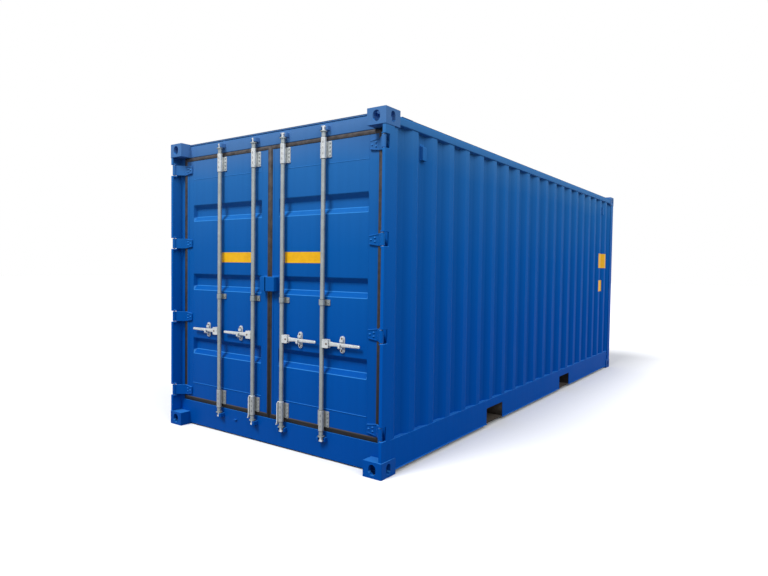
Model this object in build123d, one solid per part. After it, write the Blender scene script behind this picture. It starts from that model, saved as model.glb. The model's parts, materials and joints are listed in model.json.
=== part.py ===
from build123d import *
import math
import os

os.makedirs("parts", exist_ok=True)

# Overall size of the container, in millimetres
LENGTH = 6058
WIDTH = 2438
HEIGHT = 2591
OVERRUN = 20

# Corner castings
CASTING_X = 162
CASTING_Y = 178
CASTING_Z = 118
CASTING_WALL = 28
CASTING_EDGE_RADIUS = 8
LIFT_HOLE_LENGTH = 124.5
LIFT_HOLE_WIDTH = 63.5
END_HOLE_WIDTH = 63.5
END_HOLE_HEIGHT = 79
SIDE_HOLE_WIDTH = 50
SIDE_HOLE_HEIGHT = 79

# How far faces lie behind the castings' outer faces
POST_INSET = 4
RAIL_INSET = 4
WALL_INSET = 12
DOOR_RECESS = 100
FRONT_WALL_INSET = 9

# Rear corner posts
POST_PLATE = 12
POST_DEPTH = 113
POST_LIP_WIDTH = 26
POST_LIP_THICKNESS = 10
POST_CHANNEL_WIDTH = 61
POST_CHANNEL_WALL = 10

# Front corner posts
FRONT_POST_Y = 126
FRONT_POST_WALL = 6

# Door header and door sill
HEADER_DROP = 15
HEADER_HEIGHT = 106
HEADER_DEPTH = 110
HEADER_WALL = 4
SILL_BOTTOM = 12
SILL_HEIGHT = 210
SILL_DEPTH = 120
SILL_WALL = 5

# Rails along the sides and across the front end
TOP_RAIL_DROP = 37
TOP_RAIL_SIZE = 60
TOP_RAIL_WALL = 3
BOTTOM_RAIL_BOTTOM = 28
BOTTOM_RAIL_HEIGHT = 228
BOTTOM_RAIL_WALL = 5
BOTTOM_RAIL_LEG = 48
BOTTOM_RAIL_LIP = 7
FRONT_TOP_RAIL_HEIGHT = 60
FRONT_RAIL_DEPTH = 60
FRONT_RAIL_WALL = 4

# Corrugated side walls
SHEET = 2
SIDE_FIRST_FLAT = 41
SIDE_OUTER_FLAT = 72
SIDE_INNER_FLAT = 70
SIDE_SLOPE = 68
SIDE_DEPTH = 36

# Corrugated front wall
FRONT_EDGE_FLAT = 60
FRONT_OUTER_FLAT = 110
FRONT_INNER_FLAT = 104
FRONT_SLOPE = 18
FRONT_DEPTH = 45

# Roof sheet with pressed ribs, and the plates beside the castings
ROOF_RIB_LENGTH_GAP = 75
ROOF_RIB_BASE = 117
ROOF_RIB_SPACE = 92
ROOF_RIB_RISE = 20
ROOF_RIB_SLOPE_ANGLE = 33
CORNER_PLATE_LENGTH = 140
CORNER_PLATE_WIDTH = 300
CORNER_PLATE_THICKNESS = 3

# Floor and underframe
FLOOR_DROP = 12
FLOOR_THICKNESS = 28
FLOOR_SIDE_GAP = 0.3
CENTRE_RAIL_WIDTH = 50
CENTRE_RAIL_WALL = 4
CENTRE_RAIL_HEIGHT = 24
CROSS_MEMBER_HEIGHT = 145
CROSS_MEMBER_FLANGE = 45
CROSS_MEMBER_WALL = 4
CROSS_MEMBER_PITCH = 308
CROSS_MEMBER_END_GAP = 0.3
THRESHOLD_LENGTH = 90
THRESHOLD_THICKNESS = 4

# Fork pockets
POCKET_WIDTH = 360
POCKET_HEIGHT = 137
POCKET_BOTTOM = 41
POCKET_PITCH = 2050
POCKET_OFFSET = -115
POCKET_WALL = 6
POCKET_STRAP_LENGTH = 220

# Ventilator covers
VENT_WIDTH = 56
VENT_HEIGHT = 112
VENT_DEPTH = 30
VENT_WALL = 3
VENT_SLOPE = 12
VENT_TAB = 12
VENT_DROP = 138

# Hinges
PIN_SETBACK = 22
PIN_INSET = 29
PIN_RADIUS = 8
PIN_CLEARANCE = 0.3
KNUCKLE_RADIUS = 16
HINGE_HEIGHT = 90
HINGE_GAP = 5
HINGE_LEVEL_SHARES = (0.0258, 0.3418, 0.6536, 0.9637)
LUG_HEIGHT = 12
NOTCH_DEPTH = 56
BLADE_THICKNESS = 12
BLADE_TIP_HEIGHT = 66
BLADE_LAP = 72
BLADE_BEND_GAP = 16

# Door leaves
DOOR_THICKNESS = 50
LEAF_SIDE_GAP = 50
LEAF_SEAM_GAP = 30
LEAF_TOP_GAP = 34
LEAF_BOTTOM_GAP = 40
SEAM_MEMBER_WIDTH = 70
HINGE_MEMBER_WIDTH = 82
TOP_MEMBER_HEIGHT = 169
BOTTOM_MEMBER_HEIGHT = 134
MEMBER_WALL = 4
RECESS_LEVEL_SHARES = (0.2217, 0.4926, 0.7811)
RECESS_HEIGHT = 146
RECESS_SLOPE = 38
RECESS_DEPTH = 36

# Door gaskets
GASKET_CLEARANCE = 6
GASKET_THICKNESS = 16
GASKET_SETBACK = 2

# Lock rods with a cam and a collar at each end
ROD_STANDOFF = 32
ROD_RADIUS = 17
ROD_PLACE_SHARES = (0.1318, 0.5367)
ROD_LAP = 75
ROD_RUNNING_GAP = 0.3
COLLAR_HEIGHT = 8
COLLAR_REACH = 25
COLLAR_CHAMFER = 15
CAM_NECK_WIDTH = 18
CAM_NECK_HEIGHT = 24
CAM_HEIGHT = 14
CAM_NOSE = 20
CAM_HEEL = 15
CAM_HALF_WIDTH = 9

# Cam keepers
KEEPER_BASE = 5
KEEPER_CLEARANCE = 5
KEEPER_PRONG = 9
KEEPER_LIP_OVERLAP = 9

# Rod brackets, middle guides and the guards at the seam
BRACKET_RADIUS = 22
BRACKET_NECK_WIDTH = 28
BRACKET_FLANGE_HEIGHT = 122
BRACKET_FLANGE_REACH = 56
BRACKET_FLANGE = 8
BRACKET_INNER_OVERHANG = 9
BRACKET_OUTER_OVERHANG = 28
BRACKET_TOP_DROP = 66
BRACKET_BOTTOM_RISE = 57
GUIDE_LEVEL_SHARE = 0.4379
GUIDE_HEIGHT = 44
GUARD_WALL = 7
GUARD_DEPTH = 14
GUARD_GAP = 5
GUARD_SHOULDER = 14
GUARD_DROP = 30
GUARD_FLARE = 10

# Handles and their hubs
HANDLE_LEVEL_SHARE = 0.2958
HUB_REACH = 86
HUB_HEIGHT = 66
HUB_CHEEK = 8
HUB_SLOT = 17
HUB_PIN_OFFSET = 56
HUB_PIN_RADIUS = 6
HANDLE_THICKNESS = 14
HANDLE_EYE_REACH = 21
HANDLE_ROOT_HEIGHT = 40
HANDLE_NECK = 32
HANDLE_HEIGHT = 30
HANDLE_TIP_HEIGHT = 22
HANDLE_TIP_CHAMFER = 6
HANDLE_TIP_GAP = 64
HANDLE_RUNNING_GAP = 0.3

# Handle catches
CATCH_PLACE_SHARE = 0.492
CATCH_WIDTH = 46
CATCH_HEIGHT = 130
CATCH_PLATE = 6
CATCH_GAP = 5
CATCH_SADDLE_WIDTH = 34
CATCH_SADDLE_HEIGHT = 20
CATCH_LIP = 6
CATCH_LIP_HEIGHT = 25
CATCH_CHAMFER = 4
CATCH_TAB_HEIGHT = 20

# Lock box over the seam
BOX_LEFT_REACH = 60
BOX_RIGHT_REACH = 104
BOX_LEVEL_SHARE = 0.4956
BOX_HEIGHT = 117
BOX_DEPTH = 60
BOX_WALL = 5
BOX_FLANGE = 12

# Places worked out from the sizes above
HALF_L = LENGTH / 2
HALF_W = WIDTH / 2
REAR = -HALF_L
CASTING_IN_X = HALF_W - CASTING_X
CASTING_IN_Y = HALF_L - CASTING_Y
DOOR_FACE = REAR + DOOR_RECESS
DOOR_BACK = DOOR_FACE + DOOR_THICKNESS
POST_OUT_X = HALF_W - POST_INSET
POST_FRONT_Y = REAR + POST_INSET
POST_BACK_Y = POST_FRONT_Y + POST_DEPTH
POST_BOTTOM_Z = CASTING_Z
POST_TOP_Z = HEIGHT - CASTING_Z
SIDE_FOLDS_START_Y = POST_BACK_Y + SIDE_FIRST_FLAT
CHANNEL_OUT_X = POST_OUT_X - POST_PLATE
CHANNEL_IN_X = CHANNEL_OUT_X - POST_CHANNEL_WIDTH
CHANNEL_BACK_Y = SIDE_FOLDS_START_Y
PIN_X = HALF_W - PIN_INSET
PIN_Y = REAR + PIN_SETBACK
FRONT_POST_OUT_Y = HALF_L - POST_INSET
FRONT_POST_IN_Y = FRONT_POST_OUT_Y - FRONT_POST_Y
FRONT_WALL_OUT_Y = HALF_L - FRONT_WALL_INSET
FRONT_RAIL_IN_Y = FRONT_WALL_OUT_Y - FRONT_RAIL_DEPTH
HEADER_TOP = HEIGHT - HEADER_DROP
HEADER_BOTTOM = HEADER_TOP - HEADER_HEIGHT
HEADER_BACK_Y = DOOR_FACE + HEADER_DEPTH
SILL_TOP = SILL_BOTTOM + SILL_HEIGHT
SILL_BACK_Y = DOOR_FACE + SILL_DEPTH
FLOOR_TOP = SILL_TOP - FLOOR_DROP
FLOOR_BOTTOM = FLOOR_TOP - FLOOR_THICKNESS
RAIL_OUT_X = HALF_W - RAIL_INSET
TOP_RAIL_TOP = HEIGHT - TOP_RAIL_DROP
TOP_RAIL_BOTTOM = TOP_RAIL_TOP - TOP_RAIL_SIZE
BOTTOM_RAIL_TOP = BOTTOM_RAIL_BOTTOM + BOTTOM_RAIL_HEIGHT
BOTTOM_WEB_X = RAIL_OUT_X - BOTTOM_RAIL_LIP
WALL_OUT_X = HALF_W - WALL_INSET
WALL_IN_X = WALL_OUT_X - SIDE_DEPTH + SHEET
SIDE_PITCH = SIDE_OUTER_FLAT + SIDE_INNER_FLAT + 2 * SIDE_SLOPE
SIDE_COUNT = int((FRONT_POST_IN_Y - SIDE_FOLDS_START_Y + SIDE_OUTER_FLAT) // SIDE_PITCH)
FRONT_PITCH = FRONT_OUTER_FLAT + FRONT_INNER_FLAT + 2 * FRONT_SLOPE
FRONT_COUNT = int((2 * (CASTING_IN_X - FRONT_EDGE_FLAT) + FRONT_OUTER_FLAT) // FRONT_PITCH)
LEAF_EDGE_X = CHANNEL_IN_X - LEAF_SIDE_GAP
LEAF_SEAM_X = LEAF_SEAM_GAP
LEAF_WIDTH = LEAF_EDGE_X - LEAF_SEAM_X
LEAF_TOP = HEADER_BOTTOM - LEAF_TOP_GAP
LEAF_BOTTOM = SILL_TOP + LEAF_BOTTOM_GAP
LEAF_HEIGHT = LEAF_TOP - LEAF_BOTTOM
PANEL_IN_X = LEAF_SEAM_X + SEAM_MEMBER_WIDTH
PANEL_OUT_X = LEAF_EDGE_X - HINGE_MEMBER_WIDTH
PANEL_BOTTOM = LEAF_BOTTOM + BOTTOM_MEMBER_HEIGHT
PANEL_TOP = LEAF_TOP - TOP_MEMBER_HEIGHT
BLADE_TIP_X = LEAF_EDGE_X - BLADE_LAP
BLADE_BEND_X = LEAF_EDGE_X + BLADE_BEND_GAP
HINGE_LEVELS = [LEAF_BOTTOM + share * LEAF_HEIGHT for share in HINGE_LEVEL_SHARES]
RECESS_LEVELS = [LEAF_BOTTOM + share * LEAF_HEIGHT for share in RECESS_LEVEL_SHARES]
ROD_Y = DOOR_FACE - ROD_STANDOFF
ROD_INNER_X, ROD_OUTER_X = [LEAF_SEAM_X + share * LEAF_WIDTH for share in ROD_PLACE_SHARES]
ROD_TOP = HEADER_BOTTOM + ROD_LAP
ROD_BOTTOM = SILL_TOP - ROD_LAP
CAM_SWEEP = math.hypot(CAM_NOSE, CAM_HALF_WIDTH)
KEEPER_HEIGHT = CAM_HEIGHT + CAM_NECK_HEIGHT - KEEPER_CLEARANCE
BRACKET_TOP_Z = LEAF_TOP - BRACKET_TOP_DROP
BRACKET_BOTTOM_Z = LEAF_BOTTOM + BRACKET_BOTTOM_RISE
GUIDE_Z = LEAF_BOTTOM + GUIDE_LEVEL_SHARE * LEAF_HEIGHT
HANDLE_Z = LEAF_BOTTOM + HANDLE_LEVEL_SHARE * LEAF_HEIGHT
HANDLE_LENGTH = ROD_OUTER_X - ROD_INNER_X - HANDLE_TIP_GAP
BOX_BOTTOM = LEAF_BOTTOM + BOX_LEVEL_SHARE * LEAF_HEIGHT - BOX_HEIGHT / 2
BOX_TOP = BOX_BOTTOM + BOX_HEIGHT


def block(x_range, y_range, z_range):
    """A box between two x, two y and two z values, given in any order."""
    sizes = [abs(span[1] - span[0]) for span in (x_range, y_range, z_range)]
    middle = [(span[0] + span[1]) / 2 for span in (x_range, y_range, z_range)]
    return Pos(*middle) * Box(*sizes)


def upright(outline, low, high):
    """An outline of (x, y) points raised from one height to another."""
    points = [(x, y, low) for x, y in outline]
    return extrude(make_face(Polyline(*points, close=True)), amount=high - low, dir=(0, 0, 1))


def lengthwise(outline, start, end):
    """An outline of (x, z) points drawn out along the container's length."""
    points = [(x, start, z) for x, z in outline]
    return extrude(make_face(Polyline(*points, close=True)), amount=end - start, dir=(0, 1, 0))


def crosswise(outline, start, end):
    """An outline of (y, z) points drawn out across the container's width."""
    points = [(start, y, z) for y, z in outline]
    return extrude(make_face(Polyline(*points, close=True)), amount=end - start, dir=(1, 0, 0))


def post(x, y, low, high, radius):
    """A vertical cylinder."""
    return Pos(x, y, (low + high) / 2) * Cylinder(radius, high - low)


def dowel(x, z, start, end, radius):
    """A cylinder that lies along the container's length."""
    return Pos(x, (start + end) / 2, z) * Rot(90, 0, 0) * Cylinder(radius, abs(end - start))


def mirrored(shape):
    """The same piece on the other side of the container."""
    return mirror(shape, about=Plane.YZ)


def end_for_end(shape):
    """The same piece at the other end of the container."""
    return mirror(shape, about=Plane.XZ)


def save(shapes, node):
    """Write one node, as one solid or as several that stand apart."""
    solids = []
    for shape in shapes:
        solids.extend(shape.solids())
    export_step(solids[0] if len(solids) == 1 else Compound(solids), f"parts/{node}.step")


def folds(start, count, outer_flat, slope, inner_flat):
    """Where a corrugated sheet bends: each place, and whether the sheet is at its inner level there."""
    bends = []
    place = start
    for _ in range(count):
        bends.append((place, False))
        bends.append((place + slope, True))
        bends.append((place + slope + inner_flat, True))
        place += slope + inner_flat + slope
        bends.append((place, False))
        place += outer_flat
    return bends


def corrugated(bends, start, end, outer, inner, sheet):
    """Outline of a folded sheet as (distance along it, level) points."""
    toward = math.copysign(sheet, inner - outer)
    upper = [(start, outer)] + [(place, inner if low else outer) for place, low in bends] + [(end, outer)]
    lower = [(place, level + toward) for place, level in reversed(upper)]
    return upper + lower


def long_hole(length, width, depth):
    """A long hole's tool, long way along X, standing along Z."""
    return extrude(SlotOverall(length, width), amount=depth / 2, both=True)


def corner_casting(is_top):
    """A hollow casting at the right rear corner, with its three holes."""
    low = HEIGHT - CASTING_Z if is_top else 0
    high = low + CASTING_Z
    inner_y = REAR + CASTING_Y
    outside = block((CASTING_IN_X, HALF_W), (REAR, inner_y), (low, high))
    outer_edge = outside.edges().filter_by(Axis.Z).group_by(Axis.Y)[0].sort_by(Axis.X)[-1]
    outside = fillet(outer_edge, CASTING_EDGE_RADIUS)
    casting = outside - block(
        (CASTING_IN_X + CASTING_WALL, HALF_W - CASTING_WALL),
        (REAR + CASTING_WALL, inner_y - CASTING_WALL),
        (low + CASTING_WALL, high - CASTING_WALL),
    )
    middle_x = (CASTING_IN_X + HALF_W) / 2
    middle_y = (REAR + inner_y) / 2
    middle_z = (low + high) / 2
    deep = CASTING_WALL + 2 * OVERRUN
    lift_z = high - CASTING_WALL / 2 if is_top else low + CASTING_WALL / 2
    lift = Pos(middle_x, middle_y, lift_z) * Rot(0, 0, 90) * long_hole(LIFT_HOLE_LENGTH, LIFT_HOLE_WIDTH, deep)
    end = Pos(middle_x, REAR + CASTING_WALL / 2, middle_z) * Rot(90, 0, 0) * Rot(0, 0, 90) * long_hole(
        END_HOLE_HEIGHT, END_HOLE_WIDTH, deep
    )
    side = Pos(HALF_W - CASTING_WALL / 2, middle_y, middle_z) * Rot(0, 90, 0) * long_hole(
        SIDE_HOLE_HEIGHT, SIDE_HOLE_WIDTH, deep
    )
    return casting - lift - end - side


def casting_spaces():
    """The spaces that the right castings fill, at both ends, top and bottom."""
    spaces = []
    for z_range in ((0, CASTING_Z), (HEIGHT - CASTING_Z, HEIGHT)):
        rear_space = block((CASTING_IN_X, HALF_W), (REAR, -CASTING_IN_Y), z_range)
        spaces += [rear_space, end_for_end(rear_space)]
    return spaces


def clear_of_castings(shape):
    """A right-hand or middle piece with the right castings' spaces cut away."""
    for space in casting_spaces():
        shape -= space
    return shape


def four_corners(shape):
    """A corner's piece repeated at the four corners."""
    pair = [shape, mirrored(shape)]
    return pair + [end_for_end(piece) for piece in pair]


def rear_post():
    """Right rear post: outer plate with a front lip, inner channel, and hinge lugs in its notches."""
    plate = block((CHANNEL_OUT_X, POST_OUT_X), (POST_FRONT_Y, POST_BACK_Y), (POST_BOTTOM_Z, POST_TOP_Z))
    lip = block(
        (POST_OUT_X - POST_LIP_WIDTH, CHANNEL_OUT_X),
        (POST_FRONT_Y, POST_FRONT_Y + POST_LIP_THICKNESS),
        (POST_BOTTOM_Z, POST_TOP_Z),
    )
    channel = upright(
        [
            (CHANNEL_OUT_X, DOOR_FACE),
            (CHANNEL_IN_X, DOOR_FACE),
            (CHANNEL_IN_X, CHANNEL_BACK_Y),
            (CHANNEL_OUT_X, CHANNEL_BACK_Y),
            (CHANNEL_OUT_X, CHANNEL_BACK_Y - POST_CHANNEL_WALL),
            (CHANNEL_IN_X + POST_CHANNEL_WALL, CHANNEL_BACK_Y - POST_CHANNEL_WALL),
            (CHANNEL_IN_X + POST_CHANNEL_WALL, DOOR_FACE + POST_CHANNEL_WALL),
            (CHANNEL_OUT_X, DOOR_FACE + POST_CHANNEL_WALL),
        ],
        POST_BOTTOM_Z,
        POST_TOP_Z,
    )
    result = plate + lip + channel
    notch_half = HINGE_HEIGHT / 2 + HINGE_GAP
    for level in HINGE_LEVELS:
        result -= block(
            (POST_OUT_X - POST_LIP_WIDTH - OVERRUN, POST_OUT_X + OVERRUN),
            (POST_FRONT_Y - OVERRUN, POST_FRONT_Y + NOTCH_DEPTH),
            (level - notch_half, level + notch_half),
        )
        for low in (level - notch_half - LUG_HEIGHT, level + notch_half):
            result += block(
                (PIN_X - KNUCKLE_RADIUS, CHANNEL_OUT_X),
                (POST_FRONT_Y + POST_LIP_THICKNESS, PIN_Y + KNUCKLE_RADIUS),
                (low, low + LUG_HEIGHT),
            )
    return result


def hinge_pin(level):
    """A right hinge's pin, between its two lugs."""
    half = HINGE_HEIGHT / 2 + HINGE_GAP
    return post(PIN_X, PIN_Y, level - half, level + half, PIN_RADIUS)


def front_post():
    """Right front post, a folded section open to the inside."""
    wall = FRONT_POST_WALL
    outline = [
        (POST_OUT_X, FRONT_POST_IN_Y),
        (POST_OUT_X, FRONT_POST_OUT_Y),
        (CASTING_IN_X, FRONT_POST_OUT_Y),
        (CASTING_IN_X, FRONT_POST_OUT_Y - wall),
        (POST_OUT_X - wall, FRONT_POST_OUT_Y - wall),
        (POST_OUT_X - wall, FRONT_POST_IN_Y),
    ]
    return upright(outline, POST_BOTTOM_Z, POST_TOP_Z)


def door_header():
    """Box section over the doors, its face level with the leaves."""
    half = CASTING_IN_X
    outside = block((-half, half), (DOOR_FACE, HEADER_BACK_Y), (HEADER_BOTTOM, HEADER_TOP))
    inside = block(
        (-half - OVERRUN, half + OVERRUN),
        (DOOR_FACE + HEADER_WALL, HEADER_BACK_Y - HEADER_WALL),
        (HEADER_BOTTOM + HEADER_WALL, HEADER_TOP - HEADER_WALL),
    )
    return outside - inside


def door_sill():
    """Channel under the doors, its face level with the leaves, stepped up over the castings."""
    wall = SILL_WALL
    outline = [
        (SILL_BACK_Y, SILL_TOP),
        (DOOR_FACE, SILL_TOP),
        (DOOR_FACE, SILL_BOTTOM),
        (SILL_BACK_Y, SILL_BOTTOM),
        (SILL_BACK_Y, SILL_BOTTOM + wall),
        (DOOR_FACE + wall, SILL_BOTTOM + wall),
        (DOOR_FACE + wall, SILL_TOP - wall),
        (SILL_BACK_Y, SILL_TOP - wall),
    ]
    sill = crosswise(outline, -CHANNEL_IN_X, CHANNEL_IN_X)
    foot = block((CASTING_IN_X, CHANNEL_IN_X + OVERRUN), (REAR, SILL_BACK_Y + OVERRUN), (0, CASTING_Z))
    return sill - foot - mirrored(foot)


def front_top_rail():
    """Square tube across the top of the front end."""
    half = CASTING_IN_X
    wall = FRONT_RAIL_WALL
    low = TOP_RAIL_TOP - FRONT_TOP_RAIL_HEIGHT
    outside = block((-half, half), (FRONT_RAIL_IN_Y, FRONT_WALL_OUT_Y), (low, TOP_RAIL_TOP))
    inside = block(
        (-half - OVERRUN, half + OVERRUN),
        (FRONT_RAIL_IN_Y + wall, FRONT_WALL_OUT_Y - wall),
        (low + wall, TOP_RAIL_TOP - wall),
    )
    return outside - inside


def front_bottom_rail():
    """Channel across the bottom of the front end, open to the inside."""
    low = BOTTOM_RAIL_BOTTOM
    high = BOTTOM_RAIL_TOP
    wall = FRONT_RAIL_WALL
    outline = [
        (FRONT_RAIL_IN_Y, low),
        (FRONT_WALL_OUT_Y, low),
        (FRONT_WALL_OUT_Y, high),
        (FRONT_RAIL_IN_Y, high),
        (FRONT_RAIL_IN_Y, high - wall),
        (FRONT_WALL_OUT_Y - wall, high - wall),
        (FRONT_WALL_OUT_Y - wall, low + wall),
        (FRONT_RAIL_IN_Y, low + wall),
    ]
    return crosswise(outline, -CASTING_IN_X, CASTING_IN_X)


def top_side_rail():
    """Right top side rail, a square tube between the castings."""
    in_x = RAIL_OUT_X - TOP_RAIL_SIZE
    outside = block((in_x, RAIL_OUT_X), (-CASTING_IN_Y, CASTING_IN_Y), (TOP_RAIL_BOTTOM, TOP_RAIL_TOP))
    inside = block(
        (in_x + TOP_RAIL_WALL, RAIL_OUT_X - TOP_RAIL_WALL),
        (-CASTING_IN_Y - OVERRUN, CASTING_IN_Y + OVERRUN),
        (TOP_RAIL_BOTTOM + TOP_RAIL_WALL, TOP_RAIL_TOP - TOP_RAIL_WALL),
    )
    return outside - inside


def pocket_centres():
    """Places of the two fork pockets along the container."""
    return [POCKET_OFFSET - POCKET_PITCH / 2, POCKET_OFFSET + POCKET_PITCH / 2]


def bottom_side_rail():
    """Right bottom side rail with its outward lip and the two fork pocket openings."""
    in_x = BOTTOM_WEB_X - BOTTOM_RAIL_LEG
    wall = BOTTOM_RAIL_WALL
    outline = [
        (in_x, BOTTOM_RAIL_TOP),
        (BOTTOM_WEB_X, BOTTOM_RAIL_TOP),
        (BOTTOM_WEB_X, BOTTOM_RAIL_BOTTOM + wall),
        (RAIL_OUT_X, BOTTOM_RAIL_BOTTOM + wall),
        (RAIL_OUT_X, BOTTOM_RAIL_BOTTOM),
        (BOTTOM_WEB_X - wall, BOTTOM_RAIL_BOTTOM),
        (BOTTOM_WEB_X - wall, BOTTOM_RAIL_TOP - wall),
        (in_x, BOTTOM_RAIL_TOP - wall),
    ]
    rail = clear_of_castings(lengthwise(outline, POST_BACK_Y, FRONT_POST_IN_Y))
    rail -= block((in_x - OVERRUN, CHANNEL_OUT_X), (REAR, CHANNEL_BACK_Y), (0, BOTTOM_RAIL_TOP + OVERRUN))
    for centre in pocket_centres():
        rail -= block(
            (in_x - OVERRUN, RAIL_OUT_X + OVERRUN),
            (centre - POCKET_WIDTH / 2, centre + POCKET_WIDTH / 2),
            (BOTTOM_RAIL_BOTTOM - OVERRUN, POCKET_BOTTOM + POCKET_HEIGHT),
        )
    return rail


def side_wall():
    """Right side wall, one folded sheet between the posts."""
    bends = folds(SIDE_FOLDS_START_Y, SIDE_COUNT, SIDE_OUTER_FLAT, SIDE_SLOPE, SIDE_INNER_FLAT)
    outline = corrugated(bends, POST_BACK_Y, FRONT_POST_IN_Y, WALL_OUT_X, WALL_IN_X, SHEET)
    wall = upright([(level, place) for place, level in outline], BOTTOM_RAIL_TOP, TOP_RAIL_BOTTOM)
    return clear_of_castings(wall)


def front_wall():
    """Front wall, one folded sheet between the front posts."""
    half = CASTING_IN_X
    run = FRONT_COUNT * FRONT_PITCH - FRONT_OUTER_FLAT
    bends = folds(-run / 2, FRONT_COUNT, FRONT_OUTER_FLAT, FRONT_SLOPE, FRONT_INNER_FLAT)
    inner = FRONT_WALL_OUT_Y - FRONT_DEPTH + SHEET
    outline = corrugated(bends, -half, half, FRONT_WALL_OUT_Y, inner, SHEET)
    return upright(outline, BOTTOM_RAIL_TOP, TOP_RAIL_TOP - FRONT_TOP_RAIL_HEIGHT)


def roof_rib(place, level, base):
    """The space under one pressed rib's skin, standing on the given level."""
    length = 2 * (RAIL_OUT_X - ROOF_RIB_LENGTH_GAP) - (ROOF_RIB_BASE - base)
    shape = extrude(Rectangle(length, base), amount=ROOF_RIB_RISE, taper=ROOF_RIB_SLOPE_ANGLE)
    return Pos(0, place, level) * shape


def roof_panel():
    """Roof sheet on the rails, with pressed ribs across it."""
    first = HEADER_BACK_Y + CORNER_PLATE_LENGTH
    last = CASTING_IN_Y - CORNER_PLATE_LENGTH
    pitch = ROOF_RIB_BASE + ROOF_RIB_SPACE
    count = int((last - first + ROOF_RIB_SPACE) // pitch)
    start = (first + last - (count - 1) * pitch) / 2
    y_range = (HEADER_BACK_Y, FRONT_WALL_OUT_Y)
    roof = block((-RAIL_OUT_X, RAIL_OUT_X), y_range, (TOP_RAIL_TOP, TOP_RAIL_TOP + SHEET))
    for space in casting_spaces():
        roof -= [space, mirrored(space)]
    places = [start + number * pitch for number in range(count)]
    roof += [roof_rib(place, TOP_RAIL_TOP + SHEET, ROOF_RIB_BASE) for place in places]
    roof -= [roof_rib(place, TOP_RAIL_TOP, ROOF_RIB_BASE) for place in places]
    return roof


def roof_corner_plate(start):
    """A doubling plate on the roof sheet beside the right casting."""
    low = TOP_RAIL_TOP + SHEET
    return block(
        (RAIL_OUT_X - CORNER_PLATE_WIDTH, RAIL_OUT_X),
        (start, start + CORNER_PLATE_LENGTH),
        (low, low + CORNER_PLATE_THICKNESS),
    )


def roof_corner_plates():
    """The doubling plates at the roof's four corners."""
    plates = [roof_corner_plate(start) for start in (HEADER_BACK_Y, CASTING_IN_Y - CORNER_PLATE_LENGTH)]
    return plates + [mirrored(plate) for plate in plates]


def cross_member(place):
    """One channel under the floor, its web at the given place."""
    half = BOTTOM_WEB_X - BOTTOM_RAIL_WALL - CROSS_MEMBER_END_GAP
    low = FLOOR_BOTTOM - CROSS_MEMBER_HEIGHT
    wall = CROSS_MEMBER_WALL
    outline = [
        (place, low),
        (place + CROSS_MEMBER_FLANGE, low),
        (place + CROSS_MEMBER_FLANGE, low + wall),
        (place + wall, low + wall),
        (place + wall, FLOOR_BOTTOM - wall),
        (place + CROSS_MEMBER_FLANGE, FLOOR_BOTTOM - wall),
        (place + CROSS_MEMBER_FLANGE, FLOOR_BOTTOM),
        (place, FLOOR_BOTTOM),
    ]
    return crosswise(outline, -half, half)


def cross_members():
    """Channels at an even pitch, left out where a fork pocket runs."""
    members = []
    place = SILL_BACK_Y + CROSS_MEMBER_PITCH / 2
    while place + CROSS_MEMBER_FLANGE < CASTING_IN_Y:
        near = min(abs(place + CROSS_MEMBER_FLANGE / 2 - centre) for centre in pocket_centres())
        if near > POCKET_WIDTH / 2 + POCKET_WALL + CROSS_MEMBER_FLANGE:
            members.append(cross_member(place))
        place += CROSS_MEMBER_PITCH
    return members


def fork_pocket(centre):
    """A pocket's roof plate, its two side plates and a strap under each end."""
    half = BOTTOM_WEB_X - BOTTOM_RAIL_WALL
    half_width = POCKET_WIDTH / 2
    low = POCKET_BOTTOM - POCKET_WALL
    top = POCKET_BOTTOM + POCKET_HEIGHT
    between = (centre - half_width, centre + half_width)
    plates = [block((-half, half), between, (top - POCKET_WALL, top))]
    for start in (centre - half_width - POCKET_WALL, centre + half_width):
        plates.append(block((-half, half), (start, start + POCKET_WALL), (low, top)))
    strap = block((half - POCKET_STRAP_LENGTH, half), between, (low, POCKET_BOTTOM))
    return plates + [strap, mirrored(strap)]


def floor_boards():
    """Plywood on each side of the centre rail."""
    outer = BOTTOM_WEB_X - BOTTOM_RAIL_WALL - FLOOR_SIDE_GAP
    board = block((CENTRE_RAIL_WIDTH / 2, outer), (SILL_BACK_Y, FRONT_RAIL_IN_Y), (FLOOR_BOTTOM, FLOOR_TOP))
    return [board, mirrored(board)]


def floor_centre_rail():
    """Top hat between the floor boards."""
    half = CENTRE_RAIL_WIDTH / 2
    wall = CENTRE_RAIL_WALL
    outline = [
        (-half, FLOOR_BOTTOM),
        (half, FLOOR_BOTTOM),
        (half, FLOOR_BOTTOM + wall),
        (half - wall, FLOOR_BOTTOM + wall),
        (half - wall, FLOOR_BOTTOM + CENTRE_RAIL_HEIGHT),
        (wall - half, FLOOR_BOTTOM + CENTRE_RAIL_HEIGHT),
        (wall - half, FLOOR_BOTTOM + wall),
        (-half, FLOOR_BOTTOM + wall),
    ]
    return lengthwise(outline, SILL_BACK_Y, FRONT_RAIL_IN_Y)


def threshold_plate():
    """Plate from the sill over the floor's end, with a small slope."""
    start = DOOR_BACK + GASKET_CLEARANCE
    end = SILL_BACK_Y
    outline = [
        (start, SILL_TOP),
        (end, SILL_TOP),
        (end + THRESHOLD_LENGTH, FLOOR_TOP),
        (end + THRESHOLD_LENGTH, FLOOR_TOP + THRESHOLD_THICKNESS),
        (end, SILL_TOP + THRESHOLD_THICKNESS),
        (start, SILL_TOP + THRESHOLD_THICKNESS),
    ]
    half = CHANNEL_IN_X - GASKET_CLEARANCE
    return crosswise(outline, -half, half)


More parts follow.
